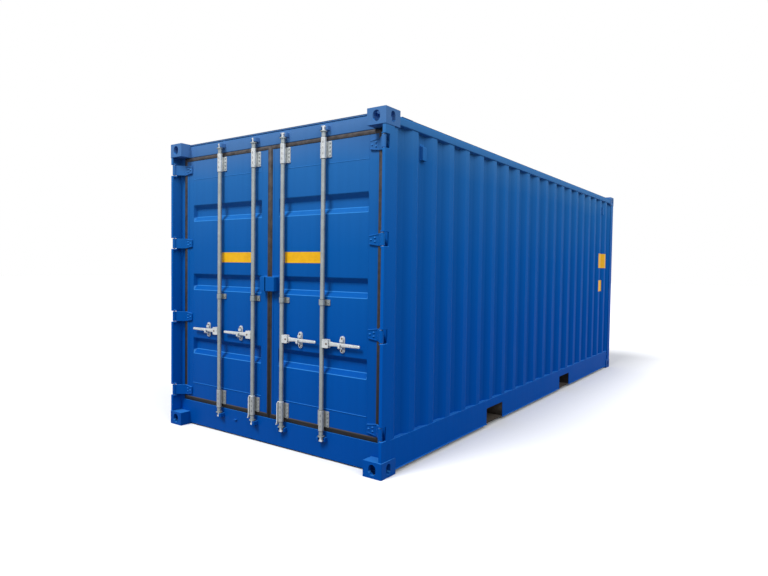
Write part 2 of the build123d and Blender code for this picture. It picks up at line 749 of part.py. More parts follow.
def ventilator_cover(number):
    """A hood over a vent in one of the right wall's inner flats, open below, with a tab above and below."""
    start = SIDE_FOLDS_START_Y + number * SIDE_PITCH + SIDE_SLOPE + (SIDE_INNER_FLAT - VENT_WIDTH) / 2
    end = start + VENT_WIDTH
    high = TOP_RAIL_BOTTOM - VENT_DROP + VENT_HEIGHT / 2
    low = high - VENT_HEIGHT
    back = WALL_IN_X
    face = back + VENT_DEPTH
    hood = lengthwise([(back, low), (face, low), (face, high - VENT_SLOPE), (back, high)], start, end)
    hood -= block(
        (back, face - VENT_WALL),
        (start + VENT_WALL, end - VENT_WALL),
        (low - OVERRUN, high - VENT_SLOPE - VENT_WALL),
    )
    tabs = block((back, back + VENT_WALL), (start, end), (low - VENT_TAB, high + VENT_TAB))
    return hood + tabs


def ventilator_covers():
    """The covers near both ends of both side walls."""
    covers = [ventilator_cover(number) for number in (1, SIDE_COUNT - 2)]
    return covers + [mirrored(cover) for cover in covers]


def keeper(x, side, is_top):
    """A rod's keeper: base plate, hooked prong on the seam side and short prong on the hinge side."""
    base_y = DOOR_FACE - KEEPER_BASE
    inner = CAM_SWEEP + KEEPER_CLEARANCE
    lip_end = CAM_SWEEP - KEEPER_LIP_OVERLAP
    lip_back = ROD_Y - CAM_HALF_WIDTH - KEEPER_CLEARANCE
    lip_front = lip_back - KEEPER_PRONG
    outline = [
        (inner + KEEPER_PRONG, DOOR_FACE),
        (inner + KEEPER_PRONG, ROD_Y),
        (inner, ROD_Y),
        (inner, base_y),
        (-inner, base_y),
        (-inner, lip_back),
        (-lip_end, lip_back),
        (-lip_end, lip_front + KEEPER_BASE),
        (KEEPER_BASE - inner, lip_front),
        (-inner - KEEPER_PRONG, lip_back),
        (-inner - KEEPER_PRONG, DOOR_FACE),
    ]
    points = [(x + side * across, y) for across, y in outline]
    low = ROD_TOP - KEEPER_HEIGHT if is_top else ROD_BOTTOM
    return upright(points, low, low + KEEPER_HEIGHT)


def rod_places():
    """Name, place across and hinge side of each lock rod."""
    return [
        ("left_outer", -ROD_OUTER_X, -1),
        ("left_inner", -ROD_INNER_X, -1),
        ("right_inner", ROD_INNER_X, 1),
        ("right_outer", ROD_OUTER_X, 1),
    ]


def cam_keepers():
    """All keepers on the header and on the sill."""
    return [keeper(x, side, is_top) for _, x, side in rod_places() for is_top in (True, False)]


def rod_end(x, side, end, inward):
    """What a rod carries past its bar: the cam at the very end, its square neck and a collar."""
    cam_in = end + inward * CAM_HEIGHT
    collar_out = cam_in + inward * CAM_NECK_HEIGHT
    collar_in = collar_out + inward * COLLAR_HEIGHT
    cam = block(
        (x - side * CAM_NOSE, x + side * CAM_HEEL),
        (ROD_Y - CAM_HALF_WIDTH, ROD_Y + CAM_HALF_WIDTH),
        (end, cam_in),
    )
    half = CAM_NECK_WIDTH / 2
    neck = block((x - half, x + half), (ROD_Y - half, ROD_Y + half), (cam_in, collar_out))
    short = COLLAR_REACH - COLLAR_CHAMFER
    eighth = [(COLLAR_REACH, short), (short, COLLAR_REACH), (-short, COLLAR_REACH), (-COLLAR_REACH, short)]
    outline = [(x + across, ROD_Y + y) for across, y in eighth]
    outline += [(x - across, ROD_Y - y) for across, y in eighth]
    collar = upright(outline, min(collar_out, collar_in), max(collar_out, collar_in))
    return cam + neck + collar


def handle_hub(x, side):
    """The hub that carries a handle: two cheeks front and back, with its pin across."""
    end = x + side * HUB_REACH
    half = HUB_SLOT / 2 + HUB_CHEEK
    z_range = (HANDLE_Z - HUB_HEIGHT / 2, HANDLE_Z + HUB_HEIGHT / 2)
    hub = block((x, end), (ROD_Y - half, ROD_Y + half), z_range)
    slot = block(
        (x + side * (ROD_RADIUS + HUB_CHEEK), end + side * OVERRUN),
        (ROD_Y - HUB_SLOT / 2, ROD_Y + HUB_SLOT / 2),
        (z_range[0] - OVERRUN, z_range[1] + OVERRUN),
    )
    pin = dowel(x + side * HUB_PIN_OFFSET, HANDLE_Z, ROD_Y - half, ROD_Y + half, HUB_PIN_RADIUS)
    return hub - slot + pin


def lock_rod(x, side):
    """A lock rod: bar, a cam and collar at each end, and the handle's hub."""
    inset = CAM_HEIGHT + CAM_NECK_HEIGHT
    rod = post(x, ROD_Y, ROD_BOTTOM + inset, ROD_TOP - inset, ROD_RADIUS)
    return rod + rod_end(x, side, ROD_TOP, -1) + rod_end(x, side, ROD_BOTTOM, 1) + handle_hub(x, side)


def rod_handle(x, side):
    """A handle lying toward the hinge: eye on the hub's pin, tapered lever, chamfered tip."""
    pin_x = x + side * HUB_PIN_OFFSET
    heel = pin_x - side * HANDLE_EYE_REACH
    neck = x + side * (HUB_REACH + HANDLE_NECK)
    tip = x + side * HANDLE_LENGTH
    upper = [
        (heel, HANDLE_ROOT_HEIGHT / 4),
        (heel + side * HANDLE_ROOT_HEIGHT / 4, HANDLE_ROOT_HEIGHT / 2),
        (x + side * HUB_REACH, HANDLE_ROOT_HEIGHT / 2),
        (neck, HANDLE_HEIGHT / 2),
        (tip - side * HANDLE_TIP_CHAMFER, HANDLE_TIP_HEIGHT / 2),
        (tip, HANDLE_TIP_HEIGHT / 2 - HANDLE_TIP_CHAMFER),
    ]
    outline = [(across, HANDLE_Z + rise) for across, rise in upper]
    outline += [(across, HANDLE_Z - rise) for across, rise in reversed(upper)]
    start = ROD_Y - HANDLE_THICKNESS / 2
    end = ROD_Y + HANDLE_THICKNESS / 2
    hole_radius = HUB_PIN_RADIUS + HANDLE_RUNNING_GAP
    hole = dowel(pin_x, HANDLE_Z, start - OVERRUN, end + OVERRUN, hole_radius)
    return lengthwise(outline, start, end) - hole


def door_frame():
    """Right leaf's frame, its top and bottom members open channels toward the inside."""
    outside = block((LEAF_SEAM_X, LEAF_EDGE_X), (DOOR_FACE, DOOR_BACK), (LEAF_BOTTOM, LEAF_TOP))
    across = (PANEL_IN_X, PANEL_OUT_X)
    window = block(across, (DOOR_FACE - OVERRUN, DOOR_BACK + OVERRUN), (PANEL_BOTTOM, PANEL_TOP))
    frame = outside - window
    for low, high in ((LEAF_BOTTOM, PANEL_BOTTOM), (PANEL_TOP, LEAF_TOP)):
        depth = (DOOR_FACE + MEMBER_WALL, DOOR_BACK + OVERRUN)
        frame -= block(across, depth, (low + MEMBER_WALL, high - MEMBER_WALL))
    return frame


def door_panel():
    """Right leaf's panel with its three pressed bands."""
    outline = [(DOOR_FACE, PANEL_BOTTOM)]
    for level in RECESS_LEVELS:
        low = level - RECESS_HEIGHT / 2
        high = level + RECESS_HEIGHT / 2
        outline.append((DOOR_FACE, low))
        outline.append((DOOR_FACE + RECESS_DEPTH, low + RECESS_SLOPE))
        outline.append((DOOR_FACE + RECESS_DEPTH, high - RECESS_SLOPE))
        outline.append((DOOR_FACE, high))
    outline.append((DOOR_FACE, PANEL_TOP))
    outline += [(y + SHEET, z) for y, z in reversed(outline)]
    return crosswise(outline, PANEL_IN_X, PANEL_OUT_X)


def door_gasket():
    """Right leaf's gasket, a frame round the leaf's front edge."""
    front = DOOR_FACE + GASKET_SETBACK
    outer = block(
        (GASKET_CLEARANCE, CHANNEL_IN_X - GASKET_CLEARANCE),
        (front, front + GASKET_THICKNESS),
        (SILL_TOP + GASKET_CLEARANCE, HEADER_BOTTOM - GASKET_CLEARANCE),
    )
    leaf = block((LEAF_SEAM_X, LEAF_EDGE_X), (DOOR_FACE, DOOR_BACK), (LEAF_BOTTOM, LEAF_TOP))
    return outer - leaf


def hinge_blade(level):
    """A right hinge's blade: knuckle on the pin, cranked arm and tapered flat tip on the leaf."""
    half = HINGE_HEIGHT / 2
    tip_half = BLADE_TIP_HEIGHT / 2
    front = DOOR_FACE - BLADE_THICKNESS
    arm_angle = math.atan2(front - PIN_Y, PIN_X - BLADE_BEND_X)
    rise = BLADE_THICKNESS / 2 / math.cos(arm_angle)
    lean = BLADE_THICKNESS * math.tan(arm_angle / 2)
    arm = [
        (BLADE_TIP_X, front),
        (BLADE_BEND_X, front),
        (PIN_X, PIN_Y - rise),
        (PIN_X, PIN_Y + rise),
        (BLADE_BEND_X + lean, DOOR_FACE),
        (BLADE_TIP_X, DOOR_FACE),
    ]
    blade = upright(arm, level - half, level + half)
    blade += post(PIN_X, PIN_Y, level - half, level + half, KNUCKLE_RADIUS)
    for sign in (1, -1):
        wedge = [
            (BLADE_TIP_X, level + sign * tip_half),
            (BLADE_BEND_X, level + sign * half),
            (BLADE_BEND_X, level + sign * (half + OVERRUN)),
            (BLADE_TIP_X - OVERRUN, level + sign * (half + OVERRUN)),
            (BLADE_TIP_X - OVERRUN, level + sign * tip_half),
        ]
        blade -= lengthwise(wedge, front - OVERRUN, DOOR_FACE + OVERRUN)
    return blade - post(PIN_X, PIN_Y, level - half - OVERRUN, level + half + OVERRUN, PIN_RADIUS + PIN_CLEARANCE)


def rod_bracket(x, middle, flange_height, below, above):
    """A sleeve that holds a rod off the leaf, longer than its flange by what is given below and above."""
    flange_low = middle - flange_height / 2
    flange_high = middle + flange_height / 2
    low = flange_low - below
    high = flange_high + above
    neck_x = (x - BRACKET_NECK_WIDTH / 2, x + BRACKET_NECK_WIDTH / 2)
    body = post(x, ROD_Y, low, high, BRACKET_RADIUS)
    body += block(neck_x, (ROD_Y, DOOR_FACE), (flange_low, flange_high))
    flange_x = (x - BRACKET_FLANGE_REACH, x + BRACKET_FLANGE_REACH)
    body += block(flange_x, (DOOR_FACE - BRACKET_FLANGE, DOOR_FACE), (flange_low, flange_high))
    return body - post(x, ROD_Y, low - OVERRUN, high + OVERRUN, ROD_RADIUS + ROD_RUNNING_GAP)


def bracket_guard(x, side):
    """A bent strip over a bottom sleeve and down one side of it, as far as the cam's collar."""
    high = BRACKET_BOTTOM_Z + BRACKET_FLANGE_HEIGHT / 2 + BRACKET_INNER_OVERHANG
    low = BRACKET_BOTTOM_Z - BRACKET_FLANGE_HEIGHT / 2 - BRACKET_OUTER_OVERHANG
    inner = BRACKET_RADIUS + GUARD_GAP
    outer = inner + GUARD_WALL
    outline = [
        (-BRACKET_RADIUS, high),
        (-BRACKET_RADIUS, high + GUARD_WALL),
        (BRACKET_RADIUS, high + GUARD_WALL),
        (outer, high - GUARD_SHOULDER),
        (outer, low),
        (outer + GUARD_FLARE, low - GUARD_DROP),
        (inner + GUARD_FLARE, low - GUARD_DROP),
        (inner, low),
        (inner, high - GUARD_SHOULDER),
        (BRACKET_RADIUS, high),
    ]
    points = [(x + side * across, z) for across, z in outline]
    guard = lengthwise(points, ROD_Y - GUARD_DEPTH / 2, ROD_Y + GUARD_DEPTH / 2)
    return guard - post(x, ROD_Y, low, high + GUARD_WALL + OVERRUN, ROD_RADIUS + ROD_RUNNING_GAP)


def rod_brackets(guard_side):
    """Right leaf's brackets: top, bottom and middle of each rod, with the seam rod's guard."""
    inner = BRACKET_INNER_OVERHANG
    outer = BRACKET_OUTER_OVERHANG
    brackets = []
    for x in (ROD_INNER_X, ROD_OUTER_X):
        brackets.append(rod_bracket(x, BRACKET_TOP_Z, BRACKET_FLANGE_HEIGHT, inner, outer))
        brackets.append(rod_bracket(x, GUIDE_Z, GUIDE_HEIGHT, 0, 0))
        bottom = rod_bracket(x, BRACKET_BOTTOM_Z, BRACKET_FLANGE_HEIGHT, outer, inner)
        if x == ROD_INNER_X:
            bottom += bracket_guard(x, guard_side)
        brackets.append(bottom)
    return brackets


def handle_catch(x):
    """A catch on the right leaf: oval plate, saddle with a front lip, and tab behind the handle."""
    middle = x + CATCH_PLACE_SHARE * HANDLE_LENGTH
    lever_start = HUB_REACH + HANDLE_NECK
    share = (middle - x - lever_start) / (HANDLE_LENGTH - lever_start)
    handle_half = (HANDLE_HEIGHT + (HANDLE_TIP_HEIGHT - HANDLE_HEIGHT) * share) / 2
    rest = HANDLE_Z - handle_half - CATCH_GAP
    front = ROD_Y - HANDLE_THICKNESS / 2 - CATCH_GAP - CATCH_LIP
    plate = Pos(middle, DOOR_FACE - CATCH_PLATE / 2, HANDLE_Z) * Rot(90, 0, 0) * Rot(0, 0, 90) * long_hole(
        CATCH_HEIGHT, CATCH_WIDTH, CATCH_PLATE
    )
    outline = [
        (DOOR_FACE, rest - CATCH_SADDLE_HEIGHT),
        (front + CATCH_CHAMFER, rest - CATCH_SADDLE_HEIGHT),
        (front, rest - CATCH_SADDLE_HEIGHT + CATCH_CHAMFER),
        (front, rest + CATCH_LIP_HEIGHT - CATCH_CHAMFER),
        (front + CATCH_CHAMFER, rest + CATCH_LIP_HEIGHT),
        (front + CATCH_LIP, rest + CATCH_LIP_HEIGHT),
        (front + CATCH_LIP, rest),
        (DOOR_FACE, rest),
    ]
    across = (middle - CATCH_SADDLE_WIDTH / 2, middle + CATCH_SADDLE_WIDTH / 2)
    tab_low = HANDLE_Z + handle_half + CATCH_GAP
    tab_back = ROD_Y + HANDLE_THICKNESS / 2 + CATCH_GAP
    tab = block(across, (tab_back, DOOR_FACE), (tab_low, tab_low + CATCH_TAB_HEIGHT))
    return plate + crosswise(outline, *across) + tab


def lock_box(reach):
    """Half of the lock box, from the seam's gap out to its side, open below, on a flanged plate."""
    front = DOOR_FACE - BOX_DEPTH
    outside = block((GASKET_CLEARANCE, reach), (front, DOOR_FACE), (BOX_BOTTOM, BOX_TOP))
    inside = block(
        (GASKET_CLEARANCE - OVERRUN, reach - BOX_WALL),
        (front + BOX_WALL, DOOR_FACE + OVERRUN),
        (BOX_BOTTOM - OVERRUN, BOX_TOP - BOX_WALL),
    )
    plate = block(
        (LEAF_SEAM_X, reach + BOX_FLANGE),
        (DOOR_FACE - BOX_WALL, DOOR_FACE),
        (BOX_BOTTOM, BOX_TOP + BOX_FLANGE),
    )
    return outside - inside + plate


def save_door(name, turn, guard_side, box_reach):
    """Write one leaf's nodes, as modelled or mirrored."""
    save([turn(door_frame())], f"{name}_door_frame")
    save([turn(door_panel())], f"{name}_door_panel")
    save([turn(door_gasket())], f"{name}_door_gasket")
    save([turn(hinge_blade(level)) for level in HINGE_LEVELS], f"{name}_door_hinges")
    save([turn(bracket) for bracket in rod_brackets(guard_side)], f"{name}_door_rod_brackets")
    save([turn(handle_catch(x)) for x in (ROD_INNER_X, ROD_OUTER_X)], f"{name}_door_handle_catches")
    save([turn(lock_box(box_reach))], f"{name}_door_lock_box")


def save_sides(shape, node):
    """Write a right-hand piece and its left-hand twin as one node."""
    save([shape, mirrored(shape)], node)


save(four_corners(corner_casting(True)), "corner_castings_top")
save(four_corners(corner_casting(False)), "corner_castings_bottom")
save_sides(rear_post(), "rear_corner_posts")
save_sides(front_post(), "front_corner_posts")
save([door_header()], "door_header")
save([door_sill()], "door_sill")
save([front_top_rail()], "front_top_rail")
save([front_bottom_rail()], "front_bottom_rail")
save_sides(top_side_rail(), "top_side_rails")
save_sides(bottom_side_rail(), "bottom_side_rails")
save_sides(side_wall(), "side_walls")
save([front_wall()], "front_wall")
save([roof_panel()], "roof_panel")
save(roof_corner_plates(), "roof_corner_plates")
save(cross_members(), "cross_members")
save([plate for centre in pocket_centres() for plate in fork_pocket(centre)], "forklift_pockets")
save(floor_boards(), "floor_boards")
save([floor_centre_rail()], "floor_centre_rail")
save([threshold_plate()], "threshold_plate")
save(ventilator_covers(), "ventilator_covers")
save(cam_keepers(), "cam_keepers")
save_sides(Compound([hinge_pin(level) for level in HINGE_LEVELS]), "hinge_pins")
save_door("right", lambda shape: shape, -1, BOX_RIGHT_REACH)
save_door("left", mirrored, 1, BOX_LEFT_REACH)
for name, x, side in rod_places():
    save([lock_rod(x, side)], f"{name}_lock_rod")
    save([rod_handle(x, side)], f"{name}_handle")
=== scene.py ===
"""Looks for a 20 ft steel freight container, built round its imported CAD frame."""

from __future__ import annotations

import json
import logging
import math
from dataclasses import dataclass, field
from enum import Enum
from typing import Any, Callable, Iterable, Sequence

import bmesh
import bpy
from mathutils import Matrix, Vector

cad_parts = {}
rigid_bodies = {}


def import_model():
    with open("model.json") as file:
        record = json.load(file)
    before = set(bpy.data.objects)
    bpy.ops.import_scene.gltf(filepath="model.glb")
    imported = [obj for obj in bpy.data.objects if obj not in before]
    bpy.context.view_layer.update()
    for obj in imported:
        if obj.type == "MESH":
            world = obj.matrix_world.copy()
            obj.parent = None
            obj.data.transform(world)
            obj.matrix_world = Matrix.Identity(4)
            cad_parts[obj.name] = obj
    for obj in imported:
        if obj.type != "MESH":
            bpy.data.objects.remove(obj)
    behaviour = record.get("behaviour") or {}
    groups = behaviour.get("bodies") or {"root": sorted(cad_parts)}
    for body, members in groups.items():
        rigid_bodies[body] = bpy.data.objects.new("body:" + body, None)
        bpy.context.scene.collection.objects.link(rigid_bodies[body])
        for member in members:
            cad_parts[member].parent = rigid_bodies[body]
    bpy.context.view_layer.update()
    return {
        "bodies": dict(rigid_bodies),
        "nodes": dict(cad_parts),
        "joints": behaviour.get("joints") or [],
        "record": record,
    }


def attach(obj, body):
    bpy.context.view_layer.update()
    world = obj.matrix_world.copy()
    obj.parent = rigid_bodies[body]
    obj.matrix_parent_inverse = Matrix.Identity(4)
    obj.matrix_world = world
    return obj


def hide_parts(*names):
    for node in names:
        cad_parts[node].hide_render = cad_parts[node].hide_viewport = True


log = logging.getLogger("container")

MM = 0.001
Point = tuple[float, float]
Triple = tuple[float, float, float]
Material = bpy.types.Material


class Side(Enum):
    """A door, by the hand it is on as one faces the doors."""

    LEFT = -1
    RIGHT = 1

    @property
    def sign(self) -> int:
        """The sign of x on this side."""
        return self.value

    @property
    def word(self) -> str:
        """The side's name as node names have it."""
        return self.name.lower()

    @property
    def body(self) -> str:
        """The door's CAD body."""
        return f"{self.word}_door"


class Head(Enum):
    """What a fastener's head looks like."""

    DOME = "dome"
    HEX = "hex"


class Along(Enum):
    """Which way a section is drawn out."""

    X = 0
    Y = 1
    Z = 2

    def at(self, spot: Point, reach: float) -> Vector:
        """A point of the section, carried out to a distance along the axis."""
        values = list(spot)
        values.insert(self.value, reach)
        return Vector(values)


def linear(hex_code: str) -> tuple[float, float, float, float]:
    """An sRGB hex colour as linear RGBA.

    Args:
        hex_code: Six hex digits, with or without a leading hash.

    Returns:
        Red, green, blue and an alpha of one.
    """
    text = hex_code.lstrip("#")
    channels = []
    for start in (0, 2, 4):
        value = int(text[start : start + 2], 16) / 255
        channels.append(value / 12.92 if value <= 0.04045 else ((value + 0.055) / 1.055) ** 2.4)
    return (channels[0], channels[1], channels[2], 1.0)


def add(
    tree: bpy.types.NodeTree, kind: str, inputs: dict[Any, Any] | None = None, **settings: Any
) -> bpy.types.Node:
    """Add one node with its settings, and set or link its input sockets.

    Args:
        tree: The node tree it goes into.
        kind: Blender's name for the node type, without its first word.
        inputs: By input socket, a value to hold or another node's output to take.
        **settings: Attributes of the node itself.

    Returns:
        The new node.
    """
    node = tree.nodes.new(f"ShaderNode{kind}")
    for name, value in settings.items():
        setattr(node, name, value)
    for socket, given in (inputs or {}).items():
        if isinstance(given, bpy.types.NodeSocket):
            tree.links.new(given, node.inputs[socket])
        else:
            node.inputs[socket].default_value = given
    return node


def new_material(name: str) -> tuple[Material, bpy.types.NodeTree]:
    """An empty node material.

    Args:
        name: The material's name.

    Returns:
        The material and its tree, with no nodes in it.
    """
    material = bpy.data.materials.new(name)
    material.use_nodes = True
    material.node_tree.nodes.clear()
    return material, material.node_tree


def fill_ramp(ramp: bpy.types.Node, stops: Sequence[tuple[float, Sequence[float]]]) -> None:
    """Give a colour ramp its stops.

    Args:
        ramp: The ramp's node, with its own two stops.
        stops: Each stop's position and linear RGBA, in order.
    """
    elements = ramp.color_ramp.elements
    while len(elements) < len(stops):
        elements.new(0.5)
    for element, (position, colour) in zip(elements, stops):
        element.position = position
        element.color = colour


def closed(material: Material, shader: bpy.types.NodeSocket) -> Material:
    """Feed a shader to a material's output.

    Args:
        material: The material, all but done.
        shader: The finished shader.

    Returns:
        The same material.
    """
    add(material.node_tree, "OutputMaterial", {"Surface": shader})
    return material


@dataclass(frozen=True)
class SprayedPaint:
    """Two-pack marine enamel, air-sprayed on grit-blasted steel.

    The eye sees an even, deep blue with a soft sheen and a faint orange peel. Towards the roof it is
    painted a little paler and greyer, a painted reflection of the sky, and rain has drawn very faint
    streaks down it. Ledges and folds carry a painted highlight, and the side walls' trays painted shade.
    """

    name: str
    bands: tuple[tuple[float, str], ...]
    roughness: float = 0.40
    peel_mm: float = 9.0
    peel_depth_mm: float = 0.10
    cloud_mm: float = 700.0
    streak_mm: float = 45.0
    specular: float = 0.05
    top: float = 2.6
    ledge: str = "#3E94E2"
    chalk_by_lean: tuple[tuple[float, float], ...] = (
        (0.0, 0.0), (0.05, 0.0), (0.18, 0.7), (0.46, 0.7), (0.60, 0.0), (0.78, 0.0), (1.0, 0.40)
    )
    tray_value: float = 1.0
    tray_x: Point = (1.176, 1.202)

    def make(self) -> Material:
        """The finished material."""
        material, tree = new_material(self.name)
        here = add(tree, "TexCoord").outputs["Object"]
        cloud = add(
            tree, "TexNoise",
            {"Scale": 1 / (self.cloud_mm * MM), "Detail": 3.0, "Roughness": 0.55, "Vector": here}
        )
        height = add(tree, "SeparateXYZ", {0: here})
        wander = add(
            tree, "Math", {1: 0.22, 0: cloud.outputs["Fac"], 2: height.outputs["Z"]}, operation="MULTIPLY_ADD"
        )
        share = add(
            tree, "MapRange", {"From Min": 0.11, "From Max": self.top + 0.11, "Value": wander.outputs[0]}
        )
        # Painted reflection: the height bands paint the blue paler towards the header, standing in for the
        # sky's reflection, and deepest at the sill
        tint_with_painted_sky_sheen = add(tree, "ValToRGB", {0: share.outputs[0]})
        fill_ramp(tint_with_painted_sky_sheen, [(level / self.top, linear(tint)) for level, tint in self.bands])
        # Rain marks are about 10 mm wide on the real wall, drawn four times as wide so that they show
        stretch = add(tree, "Mapping", {"Scale": (1.0, 1.0, 0.035), "Vector": here})
        streak = add(
            tree, "TexNoise",
            {
                "Scale": 1 / (self.streak_mm * MM), "Detail": 3.0, "Roughness": 0.5,
                "Vector": stretch.outputs[0]
            }
        )
        worn = add(tree, "MapRange", {"To Min": 0.93, "To Max": 1.07, "Value": streak.outputs["Fac"]})
        # Painted highlight: ledges that face the sky are painted paler, and rounded folds a clear step paler
        # still, standing in for the sky's light on them
        facing = add(tree, "NewGeometry")
        upward = add(tree, "SeparateXYZ", {0: facing.outputs["Normal"]})
        painted_highlight_share = add(tree, "ValToRGB", {0: upward.outputs["Z"]})
        fill_ramp(painted_highlight_share, [(lean, (pale, pale, pale, 1.0)) for lean, pale in self.chalk_by_lean])
        with_painted_highlights = add(
            tree, "Mix", {7: linear(self.ledge), 0: painted_highlight_share.outputs[0], 6: tint_with_painted_sky_sheen.outputs["Color"]},
            data_type="RGBA"
        )
        # Painted shade: the side walls' trays are painted darker than the outer flats, standing in for the
        # shade that falls in them
        outward = add(tree, "Math", {0: height.outputs["X"]}, operation="ABSOLUTE")
        painted_tray_shade_share = add(
            tree, "MapRange",
            {
                "From Min": self.tray_x[0], "From Max": self.tray_x[1], "To Min": self.tray_value,
                "To Max": 1.0, "Value": outward.outputs[0]
            }
        )
        value = add(tree, "Math", {0: worn.outputs[0], 1: painted_tray_shade_share.outputs[0]}, operation="MULTIPLY")
        colour = add(tree, "HueSaturation", {"Color": with_painted_highlights.outputs[2], "Value": value.outputs[0]})
        # Orange peel left by the spray gun, drawn a little coarser than the real 3 mm so that it shows
        peel = add(tree, "TexNoise", {"Scale": 1 / (self.peel_mm * MM), "Detail": 2.0, "Vector": here})
        bump = add(
            tree, "Bump",
            {"Strength": 0.35, "Distance": self.peel_depth_mm * MM, "Height": peel.outputs["Fac"]}
        )
        sheen = add(
            tree, "MapRange",
            {"To Min": self.roughness - 0.05, "To Max": self.roughness + 0.07, "Value": cloud.outputs["Fac"]}
        )
        shader = add(
            tree, "BsdfPrincipled",
            {
                "IOR": 1.5, "Specular IOR Level": self.specular, "Base Color": colour.outputs[0],
                "Roughness": sheen.outputs[0], "Normal": bump.outputs["Normal"]
            }
        )
        return closed(material, shader.outputs["BSDF"])


@dataclass(frozen=True)
class HotDipZinc:
    """Mild steel dipped in molten zinc and left to dull outdoors.

    The eye sees a pale, slightly blue grey that is neither mirror nor chalk, with soft crystal
    patches a centimetre or so across. It is made darker towards the bottom of the doors.
    """

    name: str
    colour: str
    dull: str
    metallic: float = 0.55
    roughness: float = 0.48
    spangle_mm: float = 14.0
    low_value: float = 0.58
    high_value: float = 0.84
    soot_mm: float = 90.0
    levels: Point = (0.3, 2.4)

    def make(self) -> Material:
        """The finished material."""
        material, tree = new_material(self.name)
        here = add(tree, "TexCoord").outputs["Object"]
        spangle = add(
            tree, "TexVoronoi", {"Scale": 1 / (self.spangle_mm * MM), "Randomness": 1.0, "Vector": here}
        )
        soot = add(
            tree, "TexNoise",
            {"Scale": 1 / (self.soot_mm * MM), "Detail": 5.0, "Roughness": 0.6, "Vector": here}
        )
        blend = add(
            tree, "Math", {1: 0.25, 0: spangle.outputs["Color"], 2: soot.outputs["Fac"]},
            operation="MULTIPLY_ADD"
        )
        share = add(tree, "MapRange", {"From Min": 0.35, "From Max": 0.95, "Value": blend.outputs[0]})
        colour = add(
            tree, "Mix", {6: linear(self.dull), 7: linear(self.colour), 0: share.outputs[0]}, data_type="RGBA"
        )
        height = add(tree, "SeparateXYZ", {0: here})
        # Darker towards the bottom of the doors, paler towards the roof
        darker_low_down = add(
            tree, "MapRange",
            {
                "From Min": self.levels[0], "From Max": self.levels[1], "To Min": self.low_value,
                "To Max": self.high_value, "Value": height.outputs["Z"]
            }
        )
        weathered = add(tree, "HueSaturation", {"Color": colour.outputs[2], "Value": darker_low_down.outputs[0]})
        rough = add(
            tree, "MapRange",
            {
                "To Min": self.roughness - 0.08, "To Max": self.roughness + 0.1,
                "Value": spangle.outputs["Color"]
            }
        )
        bump = add(tree, "Bump", {"Strength": 0.3, "Distance": 0.15 * MM, "Height": soot.outputs["Fac"]})
        shader = add(
            tree, "BsdfPrincipled",
            {
                "Metallic": self.metallic, "Base Color": weathered.outputs[0], "Roughness": rough.outputs[0],
                "Normal": bump.outputs["Normal"]
            }
        )
        return closed(material, shader.outputs["BSDF"])


@dataclass(frozen=True)
class ExtrudedRubber:
    """EPDM door seal, extruded and joined at the corners.

    The eye sees a matt brown black that picks up pale dust on its crown, with faint lines along
    the extrusion. Where its crown faces up it is also painted paler, a painted highlight.
    """

    name: str
    colour: str
    dust: str
    dust_mm: float = 60.0
    line_mm: float = 4.0
    levels: Point = (0.25, 2.45)

    def make(self) -> Material:
        """The finished material."""
        material, tree = new_material(self.name)
        here = add(tree, "TexCoord").outputs["Object"]
        dust = add(
            tree, "TexNoise",
            {"Scale": 1 / (self.dust_mm * MM), "Detail": 6.0, "Roughness": 0.65, "Vector": here}
        )
        amount = add(
            tree, "MapRange",
            {"From Min": 0.30, "From Max": 0.70, "To Min": 0.25, "To Max": 1.0, "Value": dust.outputs["Fac"]}
        )
        # Dust blows down from the roof, so the seal is pale at the header and black at the sill
        level = add(tree, "SeparateXYZ", {0: here})
        settled = add(
            tree, "MapRange",
            {
                "From Min": self.levels[0], "From Max": self.levels[1], "To Min": 0.06, "To Max": 0.85,
                "Value": level.outputs["Z"]
            }
        )
        dusty = add(tree, "Math", {0: amount.outputs[0], 1: settled.outputs[0]}, operation="MULTIPLY")
        # Dust and painted highlight: where the seal faces up its crown is painted paler
        facing = add(tree, "NewGeometry")
        upward = add(tree, "SeparateXYZ", {0: facing.outputs["Normal"]})
        crown = add(
            tree, "MapRange",
            {"From Min": 0.05, "From Max": 0.75, "To Max": 0.6, "Value": upward.outputs["Z"]}
        )
        dust_and_painted_highlight = add(tree, "Math", {0: dusty.outputs[0], 1: crown.outputs[0]}, operation="MAXIMUM")
        colour = add(
            tree, "Mix", {6: linear(self.colour), 7: linear(self.dust), 0: dust_and_painted_highlight.outputs[0]},
            data_type="RGBA"
        )
        grain = add(tree, "TexNoise", {"Scale": 1 / (self.line_mm * MM), "Detail": 2.0, "Vector": here})
        bump = add(tree, "Bump", {"Strength": 0.4, "Distance": 0.2 * MM, "Height": grain.outputs["Fac"]})
        shader = add(
            tree, "BsdfPrincipled",
            {
                "Roughness": 0.5, "IOR": 1.52, "Specular IOR Level": 0.12, "Base Color": colour.outputs[2],
                "Normal": bump.outputs["Normal"]
            }
        )
        return closed(material, shader.outputs["BSDF"])


